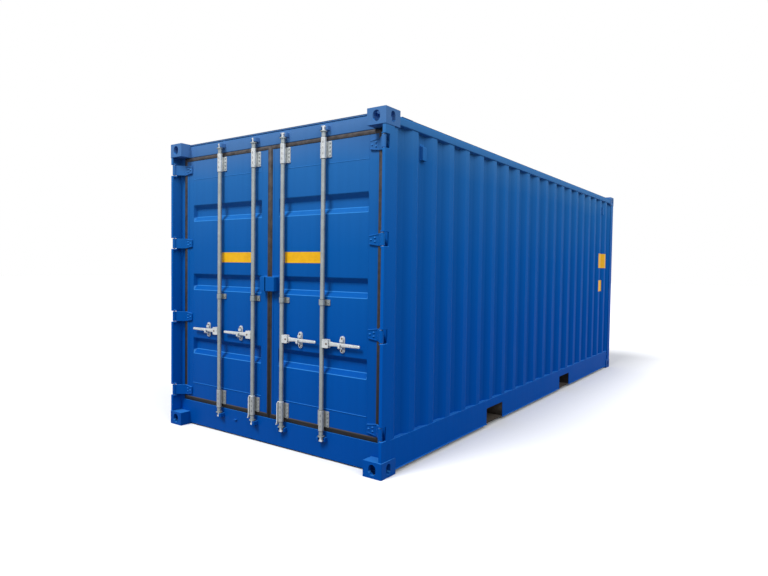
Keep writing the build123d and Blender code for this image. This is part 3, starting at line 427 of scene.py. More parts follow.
@dataclass(frozen=True)
class Undercoat:
    """Bitumen undercoat, brushed over the blue under the floor and caked with road dirt.

    The eye sees a dull brown black, with paler grey brown dirt lying on whatever faces up.
    """

    name: str
    tar: str
    dirt: str
    lump_mm: float = 35.0

    def make(self) -> Material:
        """The finished material."""
        material, tree = new_material(self.name)
        here = add(tree, "TexCoord").outputs["Object"]
        lump = add(
            tree, "TexNoise",
            {"Scale": 1 / (self.lump_mm * MM), "Detail": 6.0, "Roughness": 0.62, "Vector": here}
        )
        facing = add(tree, "NewGeometry")
        upward = add(tree, "SeparateXYZ", {0: facing.outputs["Normal"]})
        lying = add(
            tree, "MapRange",
            {"From Min": -0.2, "From Max": 1.0, "To Min": 0.2, "To Max": 1.4, "Value": upward.outputs["Z"]}
        )
        caked = add(
            tree, "Math", {0: lump.outputs["Fac"], 1: lying.outputs[0]}, operation="MULTIPLY", use_clamp=True
        )
        colour = add(
            tree, "Mix", {6: linear(self.tar), 7: linear(self.dirt), 0: caked.outputs[0]}, data_type="RGBA"
        )
        bump = add(tree, "Bump", {"Strength": 0.4, "Distance": 0.8 * MM, "Height": lump.outputs["Fac"]})
        shader = add(
            tree, "BsdfPrincipled",
            {
                "Roughness": 0.8, "IOR": 1.5, "Specular IOR Level": 0.1, "Base Color": colour.outputs[2],
                "Normal": bump.outputs["Normal"]
            }
        )
        return closed(material, shader.outputs["BSDF"])


@dataclass(frozen=True)
class VarnishedPly:
    """Hardwood plywood, pressed and varnished, for a container's floor.

    The eye sees a reddish brown with long grain along the boards and a worn satin varnish.
    """

    name: str
    light: str
    dark: str
    grain_mm: float = 22.0

    def make(self) -> Material:
        """The finished material."""
        material, tree = new_material(self.name)
        here = add(tree, "TexCoord").outputs["Object"]
        stretch = add(tree, "Mapping", {"Scale": (1.0, 0.06, 1.0), "Vector": here})
        grain = add(
            tree, "TexNoise",
            {
                "Scale": 1 / (self.grain_mm * MM), "Detail": 7.0, "Roughness": 0.6, "Distortion": 0.4,
                "Vector": stretch.outputs[0]
            }
        )
        colour = add(
            tree, "Mix", {6: linear(self.dark), 7: linear(self.light), 0: grain.outputs["Fac"]},
            data_type="RGBA"
        )
        bump = add(tree, "Bump", {"Strength": 0.25, "Distance": 0.3 * MM, "Height": grain.outputs["Fac"]})
        shader = add(
            tree, "BsdfPrincipled",
            {"Roughness": 0.55, "IOR": 1.5, "Base Color": colour.outputs[2], "Normal": bump.outputs["Normal"]}
        )
        return closed(material, shader.outputs["BSDF"])


@dataclass(frozen=True)
class PrintedVinyl:
    """A plain self-adhesive vinyl patch, calendered and rolled on by hand.

    The eye sees a flat warm yellow with a faint darker haze where it has weathered.
    """

    name: str
    colour: str
    faded: str
    haze_mm: float = 55.0

    def make(self) -> Material:
        """The finished material."""
        material, tree = new_material(self.name)
        here = add(tree, "TexCoord").outputs["Object"]
        fade = add(
            tree, "TexNoise",
            {"Scale": 1 / (self.haze_mm * MM), "Detail": 4.0, "Roughness": 0.6, "Vector": here}
        )
        share = add(tree, "MapRange", {"From Min": 0.4, "From Max": 0.8, "Value": fade.outputs["Fac"]})
        colour = add(
            tree, "Mix", {6: linear(self.colour), 7: linear(self.faded), 0: share.outputs[0]},
            data_type="RGBA"
        )
        bump = add(tree, "Bump", {"Strength": 0.2, "Distance": 0.3 * MM, "Height": fade.outputs["Fac"]})
        shader = add(
            tree, "BsdfPrincipled",
            {
                "Roughness": 0.45, "IOR": 1.46, "Specular IOR Level": 0.35, "Base Color": colour.outputs[2],
                "Normal": bump.outputs["Normal"]
            }
        )
        return closed(material, shader.outputs["BSDF"])


@dataclass(frozen=True)
class SeamlessPaper:
    """The studio's pale floor: white to the eye and the reflections, quiet as a bounce light."""

    name: str
    colour: str
    bounce: str

    def make(self) -> Material:
        """The finished material."""
        material, tree = new_material(self.name)
        path = add(tree, "LightPath")
        glossy = add(
            tree, "Math", {0: path.outputs["Is Glossy Ray"], 1: path.outputs["Is Transmission Ray"]},
            operation="MAXIMUM"
        )
        shown = add(
            tree, "Math", {0: path.outputs["Is Camera Ray"], 1: glossy.outputs[0]}, operation="MAXIMUM"
        )
        bright = add(
            tree, "BsdfPrincipled",
            {"Base Color": linear(self.colour), "Roughness": 0.95, "Specular IOR Level": 0.0}
        )
        quiet = add(tree, "BsdfDiffuse", {"Color": linear(self.bounce)})
        mix = add(tree, "MixShader", {0: shown.outputs[0], 1: quiet.outputs[0], 2: bright.outputs[0]})
        return closed(material, mix.outputs[0])


DOOR_BLUE_WITH_PAINTED_SKY_SHEEN = ((0.10, "#00489B"), (0.90, "#0050A3"), (1.60, "#0A5CAA"), (2.25, "#286EB4"), (2.54, "#4F7CB4"))
# The doors' colours by height in metres, deepest at the sill and palest at the header, a painted reflection
# of the sky.
"""The doors' colours by height in metres, deepest at the sill and palest at the header."""

WALL_BLUE_WITH_PAINTED_LIGHT = ((0.10, "#004DA6"), (0.90, "#0254AE"), (1.60, "#0B5FB4"), (2.25, "#226DB8"), (2.54, "#417FBD"))
# The walls' colours by height in metres: a copy of the door blue with its own painted light and shade for the
# walls, and less painted sky reflection at the top than the doors.
"""The walls' colours by height in metres, less chalked than the doors."""

ROOF_BLUE = ((0.10, "#0B4C90"), (2.60, "#0D4F93"))
"""The roof's colours, even all over and a little greyed by dust that settles on it."""


def own(finish: Any) -> Any:
    """A field that holds a finish's material, made when its owner is."""
    return field(default_factory=finish.make)


@dataclass
class Finishes:
    """Every finish that the container has, made once."""

    paint: Material = own(SprayedPaint("marine_enamel_blue", DOOR_BLUE_WITH_PAINTED_SKY_SHEEN))
    # Painted light and shade: a copy of the door blue, set for the light on the walls, rails and posts
    wall_paint: Material = own(
        SprayedPaint("marine_enamel_blue_on_walls", WALL_BLUE_WITH_PAINTED_LIGHT, roughness=0.5, specular=0.02)
    )
    roof_paint: Material = own(
        SprayedPaint(
            "marine_enamel_blue_on_roof", ROOF_BLUE, roughness=0.55, specular=0.02,
            chalk_by_lean=((0.0, 0.0), (0.9, 0.0), (1.0, 0.05))
        )
    )
    # The side walls' paint, with painted shade in its trays
    tray_paint: Material = own(
        SprayedPaint(
            "marine_enamel_blue_on_side_walls", WALL_BLUE_WITH_PAINTED_LIGHT, roughness=0.5, specular=0.02, tray_value=0.84
        )
    )
    cast_paint: Material = own(
        SprayedPaint("marine_enamel_blue_on_cast_steel", DOOR_BLUE_WITH_PAINTED_SKY_SHEEN, 0.46, 5.0, 0.30)
    )
    zinc: Material = own(HotDipZinc("hot_dip_zinc_on_tube", "#BAC2C1", "#9FA7A6", 0.45))
    bright_zinc: Material = own(
        HotDipZinc("hot_dip_zinc_on_forgings", "#EDEFED", "#C2C8C9", 0.35, 0.38, 9.0, 0.46, 0.92)
    )
    handled_zinc: Material = own(
        HotDipZinc("hot_dip_zinc_worn_bright_by_hands", "#FAFBFA", "#CDD3D4", 0.35, 0.32, 9.0, 0.64, 0.95)
    )
    rubbed_zinc: Material = own(
        HotDipZinc("hot_dip_zinc_rubbed_on_cams", "#F4F6F5", "#D6DADA", 0.35, 0.34, 9.0, 0.90, 0.95)
    )
    rusty_zinc: Material = own(HotDipZinc("zinc_rivets_with_red_rust", "#8C6A55", "#5A3B2C", 0.15, 0.6, 5.0))
    rubber: Material = own(ExtrudedRubber("epdm_door_seal", "#151415", "#66605F"))
    nylon: Material = own(ExtrudedRubber("moulded_black_nylon", "#1D1D1E", "#2F2F30"))
    undercoat: Material = own(Undercoat("bitumen_undercoat_with_road_dirt", "#16120F", "#5B544C"))
    ply: Material = own(VarnishedPly("varnished_hardwood_ply", "#8A5B36", "#5E3A20"))
    vinyl: Material = own(PrintedVinyl("yellow_vinyl_patch", "#F8BB08", "#E8AA08"))


class Shape:
    """One piece's mesh while it is being made, in metres and in the container's own frame."""

    def __init__(self) -> None:
        """Start with nothing."""
        self.mesh = bmesh.new()

    def loft(self, rings: Sequence[Sequence[Vector]], wrap: bool = False, caps: bool = True) -> None:
        """Join rings of points, each to the next, into a skin.

        Args:
            rings: Closed rings with the same number of points.
            wrap: Whether the last ring joins the first.
            caps: Whether the two ends are closed.
        """
        made = [[self.mesh.verts.new(point) for point in ring] for ring in rings]
        pairs = list(zip(made, made[1:]))
        if wrap:
            pairs.append((made[-1], made[0]))
        for lower, upper in pairs:
            for here in range(len(lower)):
                there = (here + 1) % len(lower)
                self.mesh.faces.new((lower[here], lower[there], upper[there], upper[here]))
        if caps and not wrap:
            self.mesh.faces.new(list(reversed(made[0])))
            self.mesh.faces.new(made[-1])

    def lathe(
        self, profile: Sequence[Point], base: Vector, axis: Vector, steps: int = 20, closed: bool = False
    ) -> None:
        """Turn a profile round an axis.

        Args:
            profile: Pairs of height along the axis and radius, from one end to the other.
            base: Where height is zero.
            axis: The axis's direction.
            steps: How many sides the turning has.
            closed: Whether the profile is a loop round a tube's wall.
        """
        along = axis.normalized()
        first = along.orthogonal().normalized()
        second = along.cross(first)
        turns = [2 * math.pi * step / steps for step in range(steps)]
        rings = [
            [
                base + along * height + (
                    first * math.cos(turn) + second * math.sin(turn)
                ) * max(radius, 0.05 * MM)
                for turn in turns
            ]
            for height, radius in profile
        ]
        self.loft(rings, wrap=closed)

    def bar(self, low: Triple, high: Triple) -> None:
        """Add a straight-sided bar between two corners.

        Args:
            low: The lowest corner.
            high: The highest corner.
        """
        outline = ((low[0], low[1]), (high[0], low[1]), (high[0], high[1]), (low[0], high[1]))
        self.prism(outline, Along.Z, low[2], high[2])

    def prism(self, outline: Sequence[Point], along: Along, start: float, end: float) -> None:
        """Draw a closed section out along an axis.

        Args:
            outline: The section, in the other two axes' order.
            along: The axis.
            start: Where it starts.
            end: Where it ends.
        """
        self.loft([[along.at(spot, reach) for spot in outline] for reach in (start, end)])

    def head(self, base: Vector, axis: Vector, radius: float, kind: Head) -> None:
        """Add a fastener's head.

        Args:
            base: Where its washer meets the surface.
            axis: Which way it stands up.
            radius: The washer's radius.
            kind: What the head looks like.
        """
        if kind is Head.DOME:
            shares = ((0.0, 1.0), (0.12, 1.0), (0.2, 0.8), (0.42, 0.72), (0.58, 0.5), (0.66, 0.2))
            self.lathe([(h * radius, r * radius) for h, r in shares], base, axis, 12)
            return
        self.lathe([(0.0, radius), (0.14 * radius, radius)], base, axis, 14)
        shares = ((0.14, 0.82), (0.62, 0.82), (0.72, 0.66))
        self.lathe([(h * radius, r * radius) for h, r in shares], base, axis, 6)

    def bead(self, path: Sequence[Vector], out: Vector, radius: float, pitch: float = 14 * MM) -> None:
        """Lay a weld bead along a path, with the slight ripple of a hand-laid run.

        Args:
            path: The corners of the run.
            out: Which way the bead crowns.
            radius: Its half width.
            pitch: How far its ripples lie apart.
        """
        for start, end in zip(path, path[1:]):
            run = end - start
            count = max(1, int(run.length / pitch))
            side = run.cross(out).normalized()
            crown = side.cross(run).normalized()
            rings = []
            for step in range(count + 1):
                place = start + run * (step / count)
                swell = radius * (1.0 if step % 2 else 0.86)
                spots = ((-1, -0.1), (-0.72, 0.42), (0, 0.66), (0.72, 0.42), (1, -0.1))
                rings.append(
                    [place + side * (swell * across) + crown * (swell * rise) for across, rise in spots]
                )
            self.loft(rings)

    def pressed(
        self, rows: Sequence[Sequence[Vector]], depth: Vector, keep: Callable[[int, int], bool] = lambda row,
        column: True
    ) -> None:
        """Make a sheet with real thickness over a grid of places.

        Args:
            rows: The places on its face, row by row.
            depth: From its face to its back.
            keep: Says for each cell whether the sheet is there.
        """
        made: dict[tuple[int, int, int], bmesh.types.BMVert] = {}

        def corner(row: int, column: int, layer: int) -> bmesh.types.BMVert:
            """The grid's corner on the face or on the back."""
            key = (row, column, layer)
            if key not in made:
                made[key] = self.mesh.verts.new(rows[row][column] + depth * layer)
            return made[key]

        tall, wide = len(rows) - 1, len(rows[0]) - 1
        cells = {(row, column) for row in range(tall) for column in range(wide) if keep(row, column)}
        for row, column in sorted(cells):
            loop = ((row, column), (row, column + 1), (row + 1, column + 1), (row + 1, column))
            self.mesh.faces.new([corner(r, c, 0) for r, c in loop])
            self.mesh.faces.new([corner(r, c, 1) for r, c in reversed(loop)])
            beside = ((row - 1, column), (row, column + 1), (row + 1, column), (row, column - 1))
            for number, cell in enumerate(beside):
                if cell not in cells:
                    here, there = loop[number], loop[(number + 1) % 4]
                    self.mesh.faces.new(
                        (corner(*there, 0), corner(*here, 0), corner(*here, 1), corner(*there, 1))
                    )

    def from_node(self, node: str, merge_mm: float = 0.02) -> None:
        """Copy a CAD node's mesh, joined at its corners and free of needless edges.

        Args:
            node: The CAD node.
            merge_mm: How near two points are to be one.
        """
        self.mesh.from_mesh(bpy.data.objects[node].data)
        bmesh.ops.remove_doubles(self.mesh, verts=self.mesh.verts[:], dist=merge_mm * MM)
        bmesh.ops.dissolve_limit(
            self.mesh, angle_limit=math.radians(0.6), verts=self.mesh.verts[:], edges=self.mesh.edges[:]
        )

    def make(
        self, name: str, body: str, material: Material, slot: str, stands_for: Iterable[str] = (),
        rolled_mm: float = 0.0, sharp_degrees: float = 32.0
    ) -> bpy.types.Object:
        """Turn the mesh into a piece that rides on a CAD body.

        Args:
            name: The piece's name.
            body: The CAD body it rides on.
            material: Its finish.
            slot: The record's material slot; not used.
            stands_for: CAD nodes that it stands for.
            rolled_mm: How far its sharp edges are rolled over.
            sharp_degrees: From what angle an edge counts as sharp.

        Returns:
            The new piece.
        """
        bmesh.ops.recalc_face_normals(self.mesh, faces=self.mesh.faces[:])
        data = bpy.data.meshes.new(name)
        self.mesh.to_mesh(data)
        self.mesh.free()
        for polygon in data.polygons:
            polygon.use_smooth = True
        data.materials.clear()
        data.materials.append(material)
        piece = bpy.data.objects.new(name, data)
        bpy.context.scene.collection.objects.link(piece)
        if rolled_mm > 0:
            bevel = piece.modifiers.new("rolled_edges", "BEVEL")
            bevel.width = rolled_mm * MM
            bevel.segments = 2
            bevel.limit_method = "ANGLE"
            bevel.angle_limit = math.radians(sharp_degrees)
            settle = piece.modifiers.new("flat_faces_stay_flat", "WEIGHTED_NORMAL")
            settle.weight = 100
        else:
            data.set_sharp_from_angle(angle=math.radians(sharp_degrees))
        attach(piece, body)
        stands_for = list(stands_for)
        if stands_for:
            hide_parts(*stands_for)
        log.info("%s rides on %s, %d faces", name, body, len(data.polygons))
        return piece


def rounded_path(path: Sequence[Point], radius: float, steps: int = 4) -> list[Point]:
    """An open path with every fold rounded.

    Args:
        path: The path's corners.
        radius: The folds' radius.
        steps: How many parts each fold has.

    Returns:
        The path's points, ends included.
    """
    spots = [path[0]]
    for before, corner, after in zip(path, path[1:], path[2:]):
        spots += bend(before, corner, after, radius, steps)
    return spots + [path[-1]]


def rounded_outline(outline: Sequence[Point], radius: float, steps: int = 4) -> list[Point]:
    """A closed outline with every corner rounded.

    Args:
        outline: The outline's corners.
        radius: The corners' radius.
        steps: How many parts each corner has.

    Returns:
        The outline's points.
    """
    spots: list[Point] = []
    count = len(outline)
    for place in range(count):
        spots += bend(outline[place - 1], outline[place], outline[(place + 1) % count], radius, steps)
    return spots


def bend(before: Point, corner: Point, after: Point, radius: float, steps: int) -> list[Point]:
    """Round one corner of a path.

    Args:
        before: The point before it.
        corner: The corner.
        after: The point after it.
        radius: The bend's radius.
        steps: How many parts the bend has.

    Returns:
        The points of the bend, or the corner itself where the path runs straight.
    """
    here = Vector(corner)
    back, ahead = Vector(before) - here, Vector(after) - here
    turn = math.pi - back.angle(ahead)
    if turn < 0.02:
        return [corner]
    reach = min(radius * math.tan(turn / 2), 0.49 * back.length, 0.49 * ahead.length)
    start, end = here + back.normalized() * reach, here + ahead.normalized() * reach
    points = []
    for step in range(steps + 1):
        share = step / steps
        spot = start.lerp(here, share).lerp(here.lerp(end, share), share)
        points.append((spot.x, spot.y))
    return points


@dataclass
class Studio:
    """The pale floor, the soft daylight and the camera at the photograph's angle."""

    focal: float = 27.084
    eye: Triple = (3.52024, -6.26313, 1.48883)
    right: Triple = (0.81484771, 0.57951625, 0.01356941)
    down: Triple = (0.03190716, -0.02146636, -0.99926029)
    floor_half: float = 60.0

    def camera(self) -> None:
        """Set up the camera where the photograph was taken from."""
        lens = bpy.data.cameras.new("viewpoint")
        lens.sensor_width = 36.0
        lens.lens = self.focal
        lens.clip_end = 500.0
        seat = bpy.data.objects.new("viewpoint", lens)
        across = Vector(self.right).normalized()
        up = -Vector(self.down).normalized()
        back = across.cross(up).normalized()
        turn = Matrix((across, up, back)).transposed().to_4x4()
        seat.matrix_world = Matrix.Translation(self.eye) @ turn
        bpy.context.scene.collection.objects.link(seat)
        bpy.context.scene.camera = seat

    def floor(self) -> None:
        """Lay the floor under the castings."""
        half = self.floor_half
        data = bpy.data.meshes.new("studio_floor")
        spots = [(-half, -half, 0), (half, -half, 0), (half, half, 0), (-half, half, 0)]
        data.from_pydata(spots, [], [(0, 1, 2, 3)])
        data.materials.append(SeamlessPaper("white_seamless_paper", "#F2F2F2", "#5A5C5E").make())
        floor = bpy.data.objects.new("studio_floor", data)
        bpy.context.scene.collection.objects.link(floor)
        floor.location.z = -0.5 * MM

    def sky(self) -> None:
        """Surround the scene with even light that shows white."""
        world = bpy.data.worlds.new("soft_room")
        bpy.context.scene.world = world
        world.use_nodes = True
        tree = world.node_tree
        tree.nodes.clear()
        path = add(tree, "LightPath")
        glossy = add(
            tree, "Math", {0: path.outputs["Is Glossy Ray"], 1: path.outputs["Is Transmission Ray"]},
            operation="MAXIMUM"
        )
        shown = add(
            tree, "Math", {0: path.outputs["Is Camera Ray"], 1: glossy.outputs[0]}, operation="MAXIMUM"
        )
        light = add(tree, "Background", {"Color": linear("#F1F5FF"), "Strength": 0.52})
        white = add(tree, "Background", {"Color": (1.0, 1.0, 1.0, 1.0), "Strength": 1.0})
        mix = add(tree, "MixShader", {0: shown.outputs[0], 1: light.outputs[0], 2: white.outputs[0]})
        add(tree, "OutputWorld", {"Surface": mix.outputs[0]})

    def daylight(self, name: str, azimuth: float, height: float, spread: float, strength: float) -> None:
        """Let soft light fall from one side.

        Args:
            name: The lamp's name.
            azimuth: Degrees from the doors' own direction, towards the right wall.
            height: Degrees above the floor.
            spread: The light's width in degrees, which sets how soft its shadows are.
            strength: Its strength.
        """
        data = bpy.data.lights.new(name, "SUN")
        data.angle = math.radians(spread)
        data.energy = strength
        lamp = bpy.data.objects.new(name, data)
        turn, rise = math.radians(azimuth), math.radians(height)
        place = Vector((math.sin(turn) * math.cos(rise), -math.cos(turn) * math.cos(rise), math.sin(rise)))
        lamp.location = place * 20.0
        lamp.rotation_euler = (-place).to_track_quat("-Z", "Y").to_euler()
        bpy.context.scene.collection.objects.link(lamp)

    def build(self) -> None:
        """Put the studio together."""
        self.camera()
        self.floor()
        self.sky()
        self.daylight("front_daylight", -12.0, 52.0, 22.0, 2.72)
        self.daylight("side_daylight", 76.0, 38.0, 50.0, 1.44)
        bpy.context.scene.view_settings.view_transform = "Standard"


@dataclass
class CornerCastings:
    """The eight steel castings that carry the stack and take the twistlocks, with their welds."""

    finishes: Finishes
    rolled_mm: float = 6.0
    bead: float = 5.0 * MM
    post_x: float = 1215 * MM
    lip_x: float = 1189 * MM
    rear_y: float = 3025 * MM
    rear_back_y: float = 2912 * MM
    front_in_y: float = 2899 * MM
    inner_x: float = 1057 * MM
    seam_levels: Point = (118 * MM, 2473 * MM)

    def build(self) -> None:
        """Make the castings and the welds round the posts' ends."""
        for node in ("corner_castings_top", "corner_castings_bottom"):
            shape = Shape()
            shape.from_node(node)
            shape.make(
                f"{node}_cast", "container_body", self.finishes.cast_paint, "blue_paint", [node],
                self.rolled_mm
            )
        welds = Shape()
        for side in Side:
            for level, rise in zip(self.seam_levels, (1, -1)):
                self.weld(welds, side.sign, level, rise)
        welds.make("casting_welds", "container_body", self.finishes.cast_paint, "blue_paint")

    def weld(self, welds: Shape, hand: int, level: float, rise: int) -> None:
        """Lay the beads where one side's posts stand on or under their castings.

        Args:
            welds: Where the beads go.
            hand: The side's sign of x.
            level: The seam's height.
            rise: Whether the post goes up or down from the seam.
        """
        runs = (
            ((self.lip_x, -self.rear_y), (self.post_x, -self.rear_y), (0, -1)),
            ((self.post_x, -self.rear_y), (self.post_x, -self.rear_back_y), (1, 0)),
            ((self.post_x, self.front_in_y), (self.post_x, self.rear_y), (1, 0)),
            ((self.post_x, self.rear_y), (self.inner_x, self.rear_y), (0, 1))
        )
        for start, end, out in runs:
            path = [Vector((hand * x, y, level)) for x, y in (start, end)]
            welds.bead(path, Vector((hand * out[0], out[1], rise)), self.bead)


@dataclass
class SteelFrame:
    """Posts, header, sill and rails: rolled and folded sections, welded up."""

    finishes: Finishes
    rolled: tuple[tuple[str, float], ...] = (
        ("rear_corner_posts", 2.5), ("front_corner_posts", 2.5), ("door_sill", 2.2),
        ("front_bottom_rail", 1.8), ("bottom_side_rails", 2.2), ("cam_keepers", 1.6),
        ("roof_corner_plates", 1.2), ("threshold_plate", 1.2), ("floor_centre_rail", 1.2),
        ("forklift_pockets", 1.5), ("cross_members", 1.5)
    )
    on_walls: tuple[str, ...] = (
        "rear_corner_posts", "bottom_side_rails", "front_bottom_rail", "front_corner_posts"
    )
    on_roof: tuple[str, ...] = ("roof_corner_plates",)
    # Dark bitumen undercoat, which inside the forklift pockets also stands in as painted shade
    underneath: tuple[str, ...] = ("cross_members", "forklift_pockets")
    bend: float = 7.0 * MM
    header_y: Point = (-2929 * MM, -2819 * MM)
    header_z: Point = (2470 * MM, 2576 * MM)
    casting_in_x: float = 1057 * MM
    rail_x: Point = (1155 * MM, 1215 * MM)
    rail_z: Point = (2494 * MM, 2554 * MM)
    rail_half: float = 2851 * MM
    front_y: Point = (2960 * MM, 3020 * MM)
    lug_x: float = -413 * MM
    lug_z: float = 143 * MM

    def tube(self, a: Point, b: Point) -> list[Point]:
        """A box section's outline between two spans, with rolled corners."""
        return rounded_outline([(a[0], b[0]), (a[1], b[0]), (a[1], b[1]), (a[0], b[1])], self.bend)

    def build(self) -> None:
        """Make the sections."""
        paint = self.finishes.paint
        for node, radius in self.rolled:
            shape = Shape()
            shape.from_node(node)
            finish = self.finishes.wall_paint if node in self.on_walls else paint
            finish = self.finishes.roof_paint if node in self.on_roof else finish
            finish = self.finishes.undercoat if node in self.underneath else finish
            shape.make(f"{node}_steel", "container_body", finish, "blue_paint", [node], radius)
        header = Shape()
        outline = self.tube(self.header_y, self.header_z)
        header.prism(outline, Along.X, -self.casting_in_x, self.casting_in_x)
        header.make(
            "door_header_box_section", "container_body", paint, "blue_paint", ["door_header"], 0.0, 50
        )
        rails = Shape()
        for side in Side:
            span = (side.sign * self.rail_x[0], side.sign * self.rail_x[1])
            rails.prism(self.tube(span, self.rail_z), Along.Y, -self.rail_half, self.rail_half)
        rails.make(
            "top_side_rails_tube", "container_body", self.finishes.wall_paint, "blue_paint",
            ["top_side_rails"], 0.0, 50
        )
        front = Shape()
        front.prism(self.tube(self.front_y, self.rail_z), Along.X, -self.casting_in_x, self.casting_in_x)
        front.make(
            "front_top_rail_tube", "container_body", self.finishes.wall_paint, "blue_paint",
            ["front_top_rail"], 0.0, 50
        )
        self.header_plate()
        self.pins()
        self.sill_lug()

    def header_plate(self) -> None:
        """Lay the roof's end plate over the header, sealed along its front edge."""
        plate, seam = Shape(), Shape()
        front, low, high = self.header_y[0] - 5 * MM, self.header_z[1], self.header_z[1] + 12 * MM
        reach = self.casting_in_x
        plate.bar((-reach, front, low), (reach, self.header_y[1], high))
        plate.make("header_end_plate", "container_body", self.finishes.paint, "blue_paint", (), 1.2)
        path = [Vector((x, front, high - 3 * MM)) for x in (-reach, reach)]
        seam.bead(path, Vector((0, -1, 0)), 2 * MM, 40 * MM)
        seam.make("header_sealant", "container_body", self.finishes.rubber, "rubber", (), 0.0, 80)

    def pins(self) -> None:
        """Make the hinge pins, with the staked heads that keep them in their lugs."""
        pins = Shape()
        pins.from_node("hinge_pins")
        pins.make(
            "hinge_pins_steel", "container_body", self.finishes.zinc, "galvanised_steel", ["hinge_pins"]
        )

    def sill_lug(self) -> None:
        """Make the small welded lug on the sill's face."""
        lug = Shape()
        x, z, face = self.lug_x, self.lug_z, self.header_y[0]
        lug.prism(
            [
                (x - 16 * MM, z - 4 * MM), (x + 16 * MM, z - 4 * MM), (x + 16 * MM, z + 4 * MM),
                (x - 16 * MM, z + 4 * MM)
            ],
            Along.Y, face - 14 * MM, face
        )
        lug.make("sill_lug", "container_body", self.finishes.paint, "blue_paint", (), 1.5)


@dataclass
class Corrugations:
    """The pressed side walls, front wall and roof, with rounded folds and their welds."""

    finishes: Finishes
    sheet: float = 2.0 * MM
    fold_radius: float = 16.0 * MM
    side_outer: float = 1207 * MM
    side_inner: float = 1173 * MM
    side_y: Point = (-2912 * MM, 2899 * MM)
    side_start: float = -2871 * MM
    side_flats: Triple = (68 * MM, 70 * MM, 72 * MM)
    side_count: int = 21
    side_z: Point = (256 * MM, 2494 * MM)
    front_outer: float = 3020 * MM
    front_inner: float = 2977 * MM
    front_half: float = 1057 * MM
    front_flats: Triple = (18 * MM, 104 * MM, 110 * MM)
    front_count: int = 8
    front_z: Point = (256 * MM, 2494 * MM)
    roof_z: float = 2556 * MM
    roof_y: Point = (-2819 * MM, 3020 * MM)
    roof_half: float = 1215 * MM
    rib_base: float = 117 * MM
    rib_space: float = 92 * MM
    rib_rise: float = 20 * MM
    rib_slope: float = 13 * MM
    rib_half: float = 1140 * MM
    rib_count: int = 26
    casting_in: Point = (1057 * MM, 2851 * MM)
    bead: float = 3.2 * MM

    def wave(self, start: float, count: int, flats: Triple, outer: float, inner: float) -> list[Point]:
        """Where a corrugated sheet bends.

        Args:
            start: The first bend.
            count: How many troughs there are.
            flats: Widths of a slope, an inner flat and an outer flat.
            outer: The outer flats' level.
            inner: The inner flats' level.

        Returns:
            Places and levels of the bends.
        """
        slope, low, high = flats
        spots: list[Point] = []
        place = start
        for _ in range(count):
            spots += [(place, outer), (place + slope, inner), (place + slope + low, inner)]
            place += 2 * slope + low
            spots.append((place, outer))
            place += high
        return spots

    def side_path(self) -> list[Point]:
        """The right wall's outer face, as places along the container and levels."""
        spots = self.wave(self.side_start, self.side_count, self.side_flats, self.side_outer, self.side_inner)
        ends = [(self.side_y[0], self.side_outer)], [(self.side_y[1], self.side_outer)]
        return rounded_path(ends[0] + spots + ends[1], self.fold_radius, 3)

    def side_walls(self) -> None:
        """Make both side walls and the welds along their lower and upper edges."""
        walls, welds = Shape(), Shape()
        path = self.side_path()
        for side in Side:
            hand = side.sign
            rows = [[Vector((hand * level, place, z)) for z in self.side_z] for place, level in path]
            walls.pressed(rows, Vector((-hand * self.sheet, 0, 0)))
            for z, rise in zip(self.side_z, (1, -1)):
                run = [Vector((hand * level, place, z)) for place, level in path]
                welds.bead(run, Vector((hand, 0, rise)), self.bead, 40 * MM)
        paint = self.finishes.wall_paint
        walls.make(
            "side_walls_pressed", "container_body", self.finishes.tray_paint, "blue_paint", ["side_walls"]
        )
        welds.make("side_wall_welds", "container_body", paint, "blue_paint", (), 0.0, 80)

    def front_wall(self) -> None:
        """Make the front wall."""
        wall, welds = Shape(), Shape()
        slope, low, high = self.front_flats
        pitch = 2 * slope + low + high
        start = -(self.front_count * pitch - high) / 2
        spots = self.wave(start, self.front_count, self.front_flats, self.front_outer, self.front_inner)
        path = [(-self.front_half, self.front_outer)] + spots + [(self.front_half, self.front_outer)]
        path = rounded_path(path, 12 * MM, 4)
        wall.pressed(
            [[Vector((place, level, z)) for z in self.front_z] for place, level in path],
            Vector((0, -self.sheet, 0))
        )
        for z, rise in zip(self.front_z, (1, -1)):
            welds.bead(
                [Vector((place, level, z)) for place, level in path], Vector((0, 1, rise)), self.bead, 40 * MM
            )
        paint = self.finishes.wall_paint
        wall.make("front_wall_pressed", "container_body", paint, "blue_paint", ["front_wall"])
        welds.make("front_wall_welds", "container_body", paint, "blue_paint", (), 0.0, 80)

    def roof(self) -> None:
        """Make the roof sheet, its pressed ribs fading out before the rails."""
        pitch = self.rib_base + self.rib_space
        run = (self.rib_count - 1) * pitch
        first = (-2819 * MM + 140 * MM + self.casting_in[1] - 140 * MM - run) / 2
        lengthwise: list[Point] = [(self.roof_y[0], 0.0)]
        for number in range(self.rib_count):
            middle = first + number * pitch
            for reach, share in ((-self.rib_base / 2, 0.0), (-self.rib_base / 2 + self.rib_slope, 1.0)):
                lengthwise.append((middle + reach, share * self.rib_rise))
            for reach, share in ((self.rib_base / 2 - self.rib_slope, 1.0), (self.rib_base / 2, 0.0)):
                lengthwise.append((middle + reach, share * self.rib_rise))
        lengthwise += [(self.casting_in[1], 0.0), (self.roof_y[1], 0.0)]
        lengthwise = rounded_path(lengthwise, 7 * MM, 3)
        across = [
            (-self.roof_half, 0.0), (-self.rib_half, 0.0), (self.rib_slope - self.rib_half, self.rib_rise)
        ]
        across += [(-place, level) for place, level in reversed(across)]
        across = rounded_path(across, 7 * MM, 3)
        edges = sorted([(-self.casting_in[0], self.rib_rise), (self.casting_in[0], self.rib_rise)] + across)
        rows = [
            [Vector((x, y, self.roof_z + rise * ramp / self.rib_rise)) for x, ramp in edges]
            for y, rise in lengthwise
        ]

